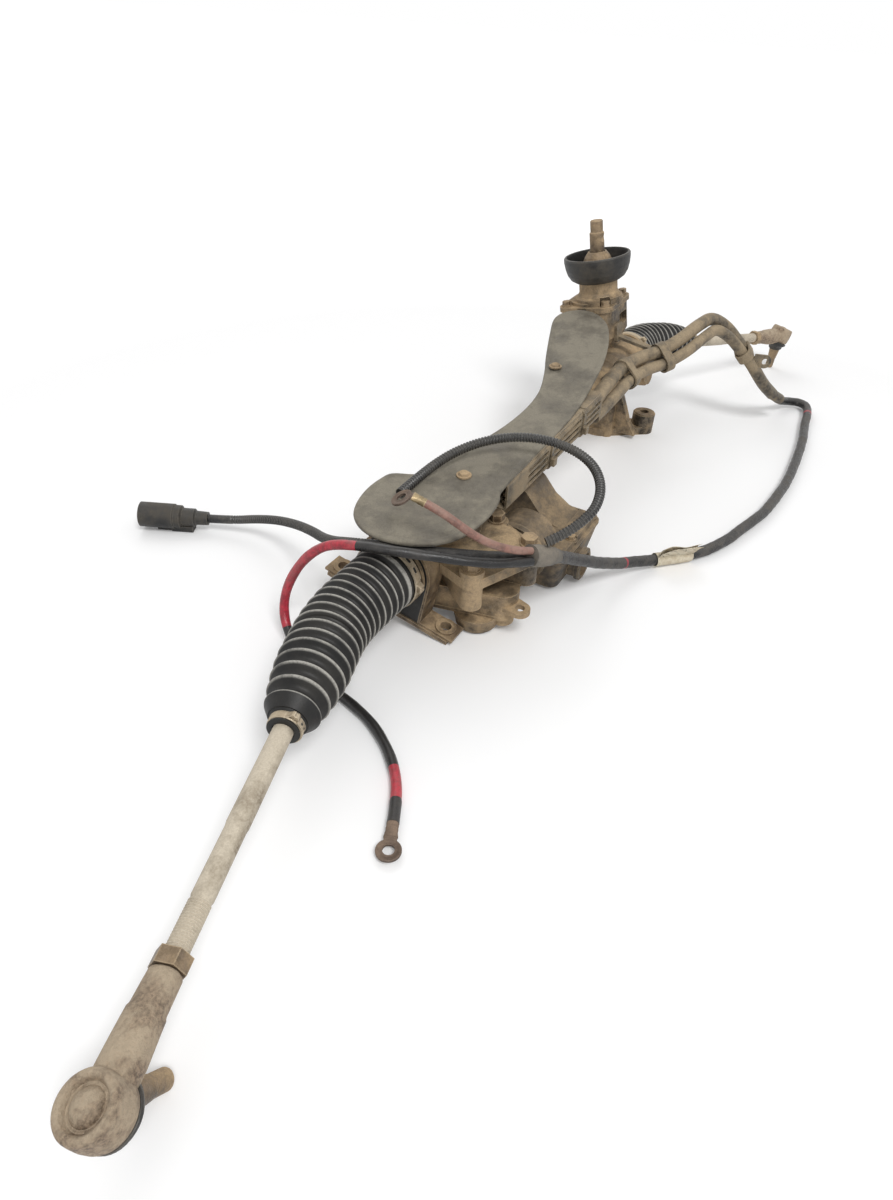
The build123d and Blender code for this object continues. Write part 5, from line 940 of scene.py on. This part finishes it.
def cable_label():
    """Folded label: wrapped once round the trunk, with two leaves that have sprung apart."""
    start = Vector((-12, -203, -70))
    run = (Vector((-52, -168, -66)) - start).normalized()
    normal = Vector((0.35, 0.75, 0.56))
    out = (normal - run * normal.dot(run)).normalized().cross(run).normalized()
    lift = run.cross(out).normalized()
    line = [
        point for point in route_line("harness_trunk", 1.5)
        if LABEL_FROM < (point - start).dot(run) < LABEL_TO and (point - start).length < 60
    ]
    shape = Shape()
    for leaf, sign in ((0, 1), (1, -1)):
        rows = []
        for number, point in enumerate(line):
            along = number / (len(line) - 1)
            row = []
            for step in range(LEAF_SPANS + 1):
                reach = step / LEAF_SPANS
                bow = sign * (1.1 * reach + 0.6 * math.sin(3.1 * reach + 2.0 * leaf))
                crumple = 0.9 * math.sin(6 * along + 3 * reach + 2 * leaf) * reach
                crumple += 0.5 * math.sin(11 * along - 7 * reach) * reach
                away = out * (LEAF_FROM + LEAF_LONG * reach)
                row.append(point + away + lift * (sign * 0.6 + bow + crumple))
            rows.append(row)
        for low, high in zip(rows, rows[1:]):
            for step in range(LEAF_SPANS):
                first = len(shape.points)
                shape.points.extend((low[step], low[step + 1], high[step + 1], high[step]))
                shape.marks.extend((0, 0, 0, 0))
                shape.faces.append((first, first + 1, first + 2, first + 3))
                shape.looks.append(0)
    rings = []
    for point in line:
        rings.append([
            point + (out * math.cos(angle) + lift * math.sin(angle)) * LABEL_R for angle in circle(24)
        ])
    shape.rings(rings, capped=False)
    piece = shape.piece("label_leaves", None, ["label_film"])
    builder = bmesh.new()
    builder.from_mesh(piece.data)
    bmesh.ops.remove_doubles(builder, verts=builder.verts, dist=0.00001)
    builder.to_mesh(piece.data)
    builder.free()
    thicken(piece, FILM, 0)
    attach(piece, "housing")
    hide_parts("cable_label")
    return piece


label = cable_label()

SPLICE = ((-199, -116.7, 8.7), (-207, -114.4, 12.9), (-215, -112, 17), (-224, -108.6, 21), (-233, -105, 25))
shape = Shape()
line, total = walk([Vector(point) for point in SPLICE], 0.8)


def splice_radius(distance):
    """The splice swells from the trunk's radius to that of the bundled leads."""
    share = min(1.0, distance / (0.75 * total))
    return 6.6 + 3.2 * math.sin(share * math.pi / 2)


shape.tube([point for point, distance in line], splice_radius, around=28, swell=taped(11.0, 0.5))
splice = shape.piece("splice_wrap", "housing", ["grey_tape"])
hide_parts("splice_sleeve")

TRUNK_R = 6.0
CONDUIT_R = 4.6
POWER_R = 4.2
GROUND_R = 3.4
# stretches of a cord by distance along it: coloured marks, and the part of the lead in split conduit
TRUNK_MARKS = ((703, 707), (122, 127))
POWER_MARKS = ((150, 285), (468, 498))
IN_CONDUIT = ((140, 388),)
POWER_SLEEVE = 500


def within(distance, stretches):
    """One inside any of the stretches, else nought."""
    return int(any(low < distance < high for low, high in stretches))


ground_ring = ring_end("ground_ring", "ground_lead", GROUND_R, (-0.1, -0.4, 0.9),
                       ["brass", "rusty_ring"], bend=0.85)
power_ring = ring_end("power_ring", "power_lead", POWER_R, (0.2, 0.1, 0.97),
                      ["rusty_ring", "rusty_ring"])

shape = Shape()
shape.tube(route_line("harness_trunk", 2.5), TRUNK_R - 0.1, around=20, swell=taped(15.0, 0.35),
           look=lambda distance: within(distance, TRUNK_MARKS))
cord("harness_trunk", shape, ["tape", "red"])

shape = Shape()
shape.tube(route_line("connector_lead", 0.6), around=18,
           radius=lambda distance: ridged(distance, CONDUIT_R) if within(distance, IN_CONDUIT) else 4.5,
           look=lambda distance: 1 - within(distance, IN_CONDUIT))
cord("connector_lead", shape, ["conduit", "tape"])

shape = Shape()
shape.tube(route_line("power_lead", 2.0), around=18,
           radius=lambda distance: 4.15 if distance < POWER_SLEEVE else 4.5,
           swell=lambda distance, angle: 0.12 * math.sin(distance / 5.0 + 2 * angle),
           look=lambda distance: within(distance, POWER_MARKS))
cord("power_lead", shape, ["cable", "red"])

shape = Shape()
shape.tube(route_line("conduit_loop", 0.6), lambda distance: ridged(distance, CONDUIT_R), around=18)
cord("conduit_loop", shape, ["conduit"])

shape = Shape()
shape.tube(route_line("ground_lead", 2.0), GROUND_R, around=16)
cord("ground_lead", shape, ["brown"])

# ---------------------------------------------------------------- camera, floor and light
CAMERA_AT = (-746.6, -313.2, 417.7)
CAMERA_RIGHT = (0.50551, -0.86246, 0.02475)
CAMERA_UP = (0.53204, 0.33417, 0.77799)
FLOOR_HALF = 40             # in metres
LAMPS_AIM = Vector((0, 0, 0.1))
camera = bpy.data.objects.new("camera", bpy.data.cameras.new("camera"))
bpy.context.scene.collection.objects.link(camera)
right = way(CAMERA_RIGHT)
up = way(CAMERA_UP)
turn = Matrix((right, up, right.cross(up))).transposed().to_4x4()
camera.matrix_world = Matrix.Translation(at(CAMERA_AT)) @ turn
camera.data.lens = 23.95
camera.data.sensor_width = 36.0
camera.data.clip_start = 0.01
camera.data.clip_end = 50.0
bpy.context.scene.camera = camera

floor_mesh = bpy.data.meshes.new("floor")
corners = [(x * FLOOR_HALF, y * FLOOR_HALF, 0) for x, y in ((-1, -1), (1, -1), (1, 1), (-1, 1))]
floor_mesh.from_pydata(corners, [], [(0, 1, 2, 3)])
floor = bpy.data.objects.new("floor", floor_mesh)
bpy.context.scene.collection.objects.link(floor)
ground = bpy.data.materials.new("ground")
ground.use_nodes = True
tree = ground.node_tree
surface = tree.nodes["Principled BSDF"]
surface.inputs["Base Color"].default_value = (0.9, 0.9, 0.9, 1)
surface.inputs["Roughness"].default_value = 0.9
surface.inputs["Emission Color"].default_value = (1, 1, 1, 1)
# for the camera alone the floor is lifted towards white with the distance, and keeps the object's shadow
seen = tree.nodes.new("ShaderNodeLightPath")
spot = tree.nodes.new("ShaderNodeTexCoord")
far = tree.nodes.new("ShaderNodeVectorMath")
far.operation = "LENGTH"
growth = tree.nodes.new("ShaderNodeMapRange")
for name, number in {"From Min": 0.8, "From Max": 2.6, "To Min": 0.06, "To Max": 0.6}.items():
    growth.inputs[name].default_value = number
lifted = tree.nodes.new("ShaderNodeMath")
lifted.operation = "MULTIPLY"
tree.links.new(spot.outputs["Object"], far.inputs[0])
tree.links.new(far.outputs["Value"], growth.inputs["Value"])
tree.links.new(seen.outputs["Is Camera Ray"], lifted.inputs[0])
tree.links.new(growth.outputs[0], lifted.inputs[1])
tree.links.new(lifted.outputs[0], surface.inputs["Emission Strength"])
floor.data.materials.append(ground)

world = bpy.data.worlds.new("studio")
bpy.context.scene.world = world
world.use_nodes = True
# the camera and mirror-like surfaces see plain white, and everything else gets a softer light
tree = world.node_tree
plain = tree.nodes["Background"]
plain.inputs["Strength"].default_value = 0.6
white = tree.nodes.new("ShaderNodeBackground")
white.inputs["Strength"].default_value = 1.0
for node in (plain, white):
    node.inputs["Color"].default_value = (1, 1, 1, 1)
path = tree.nodes.new("ShaderNodeLightPath")
blend = tree.nodes.new("ShaderNodeMixShader")
either = tree.nodes.new("ShaderNodeMath")
either.operation = "MAXIMUM"
tree.links.new(path.outputs["Is Camera Ray"], either.inputs[0])
tree.links.new(path.outputs["Is Glossy Ray"], either.inputs[1])
tree.links.new(either.outputs[0], blend.inputs[0])
tree.links.new(plain.outputs[0], blend.inputs[1])
tree.links.new(white.outputs[0], blend.inputs[2])
tree.links.new(blend.outputs[0], tree.nodes["World Output"].inputs[0])


def lamp(name, place, energy, size):
    """Square soft lamp that looks at the middle of the rack."""
    light = bpy.data.lights.new(name, "AREA")
    light.energy = energy
    light.size = size
    obj = bpy.data.objects.new(name, light)
    obj.location = place
    obj.rotation_euler = (LAMPS_AIM - Vector(place)).to_track_quat("-Z", "Y").to_euler()
    bpy.context.scene.collection.objects.link(obj)


lamp("key", (-1.5, -1.6, 2.9), 66, 1.1)
lamp("fill", (1.5, 1.8, 2.4), 20, 2.2)

bpy.context.scene.view_settings.view_transform = "Standard"
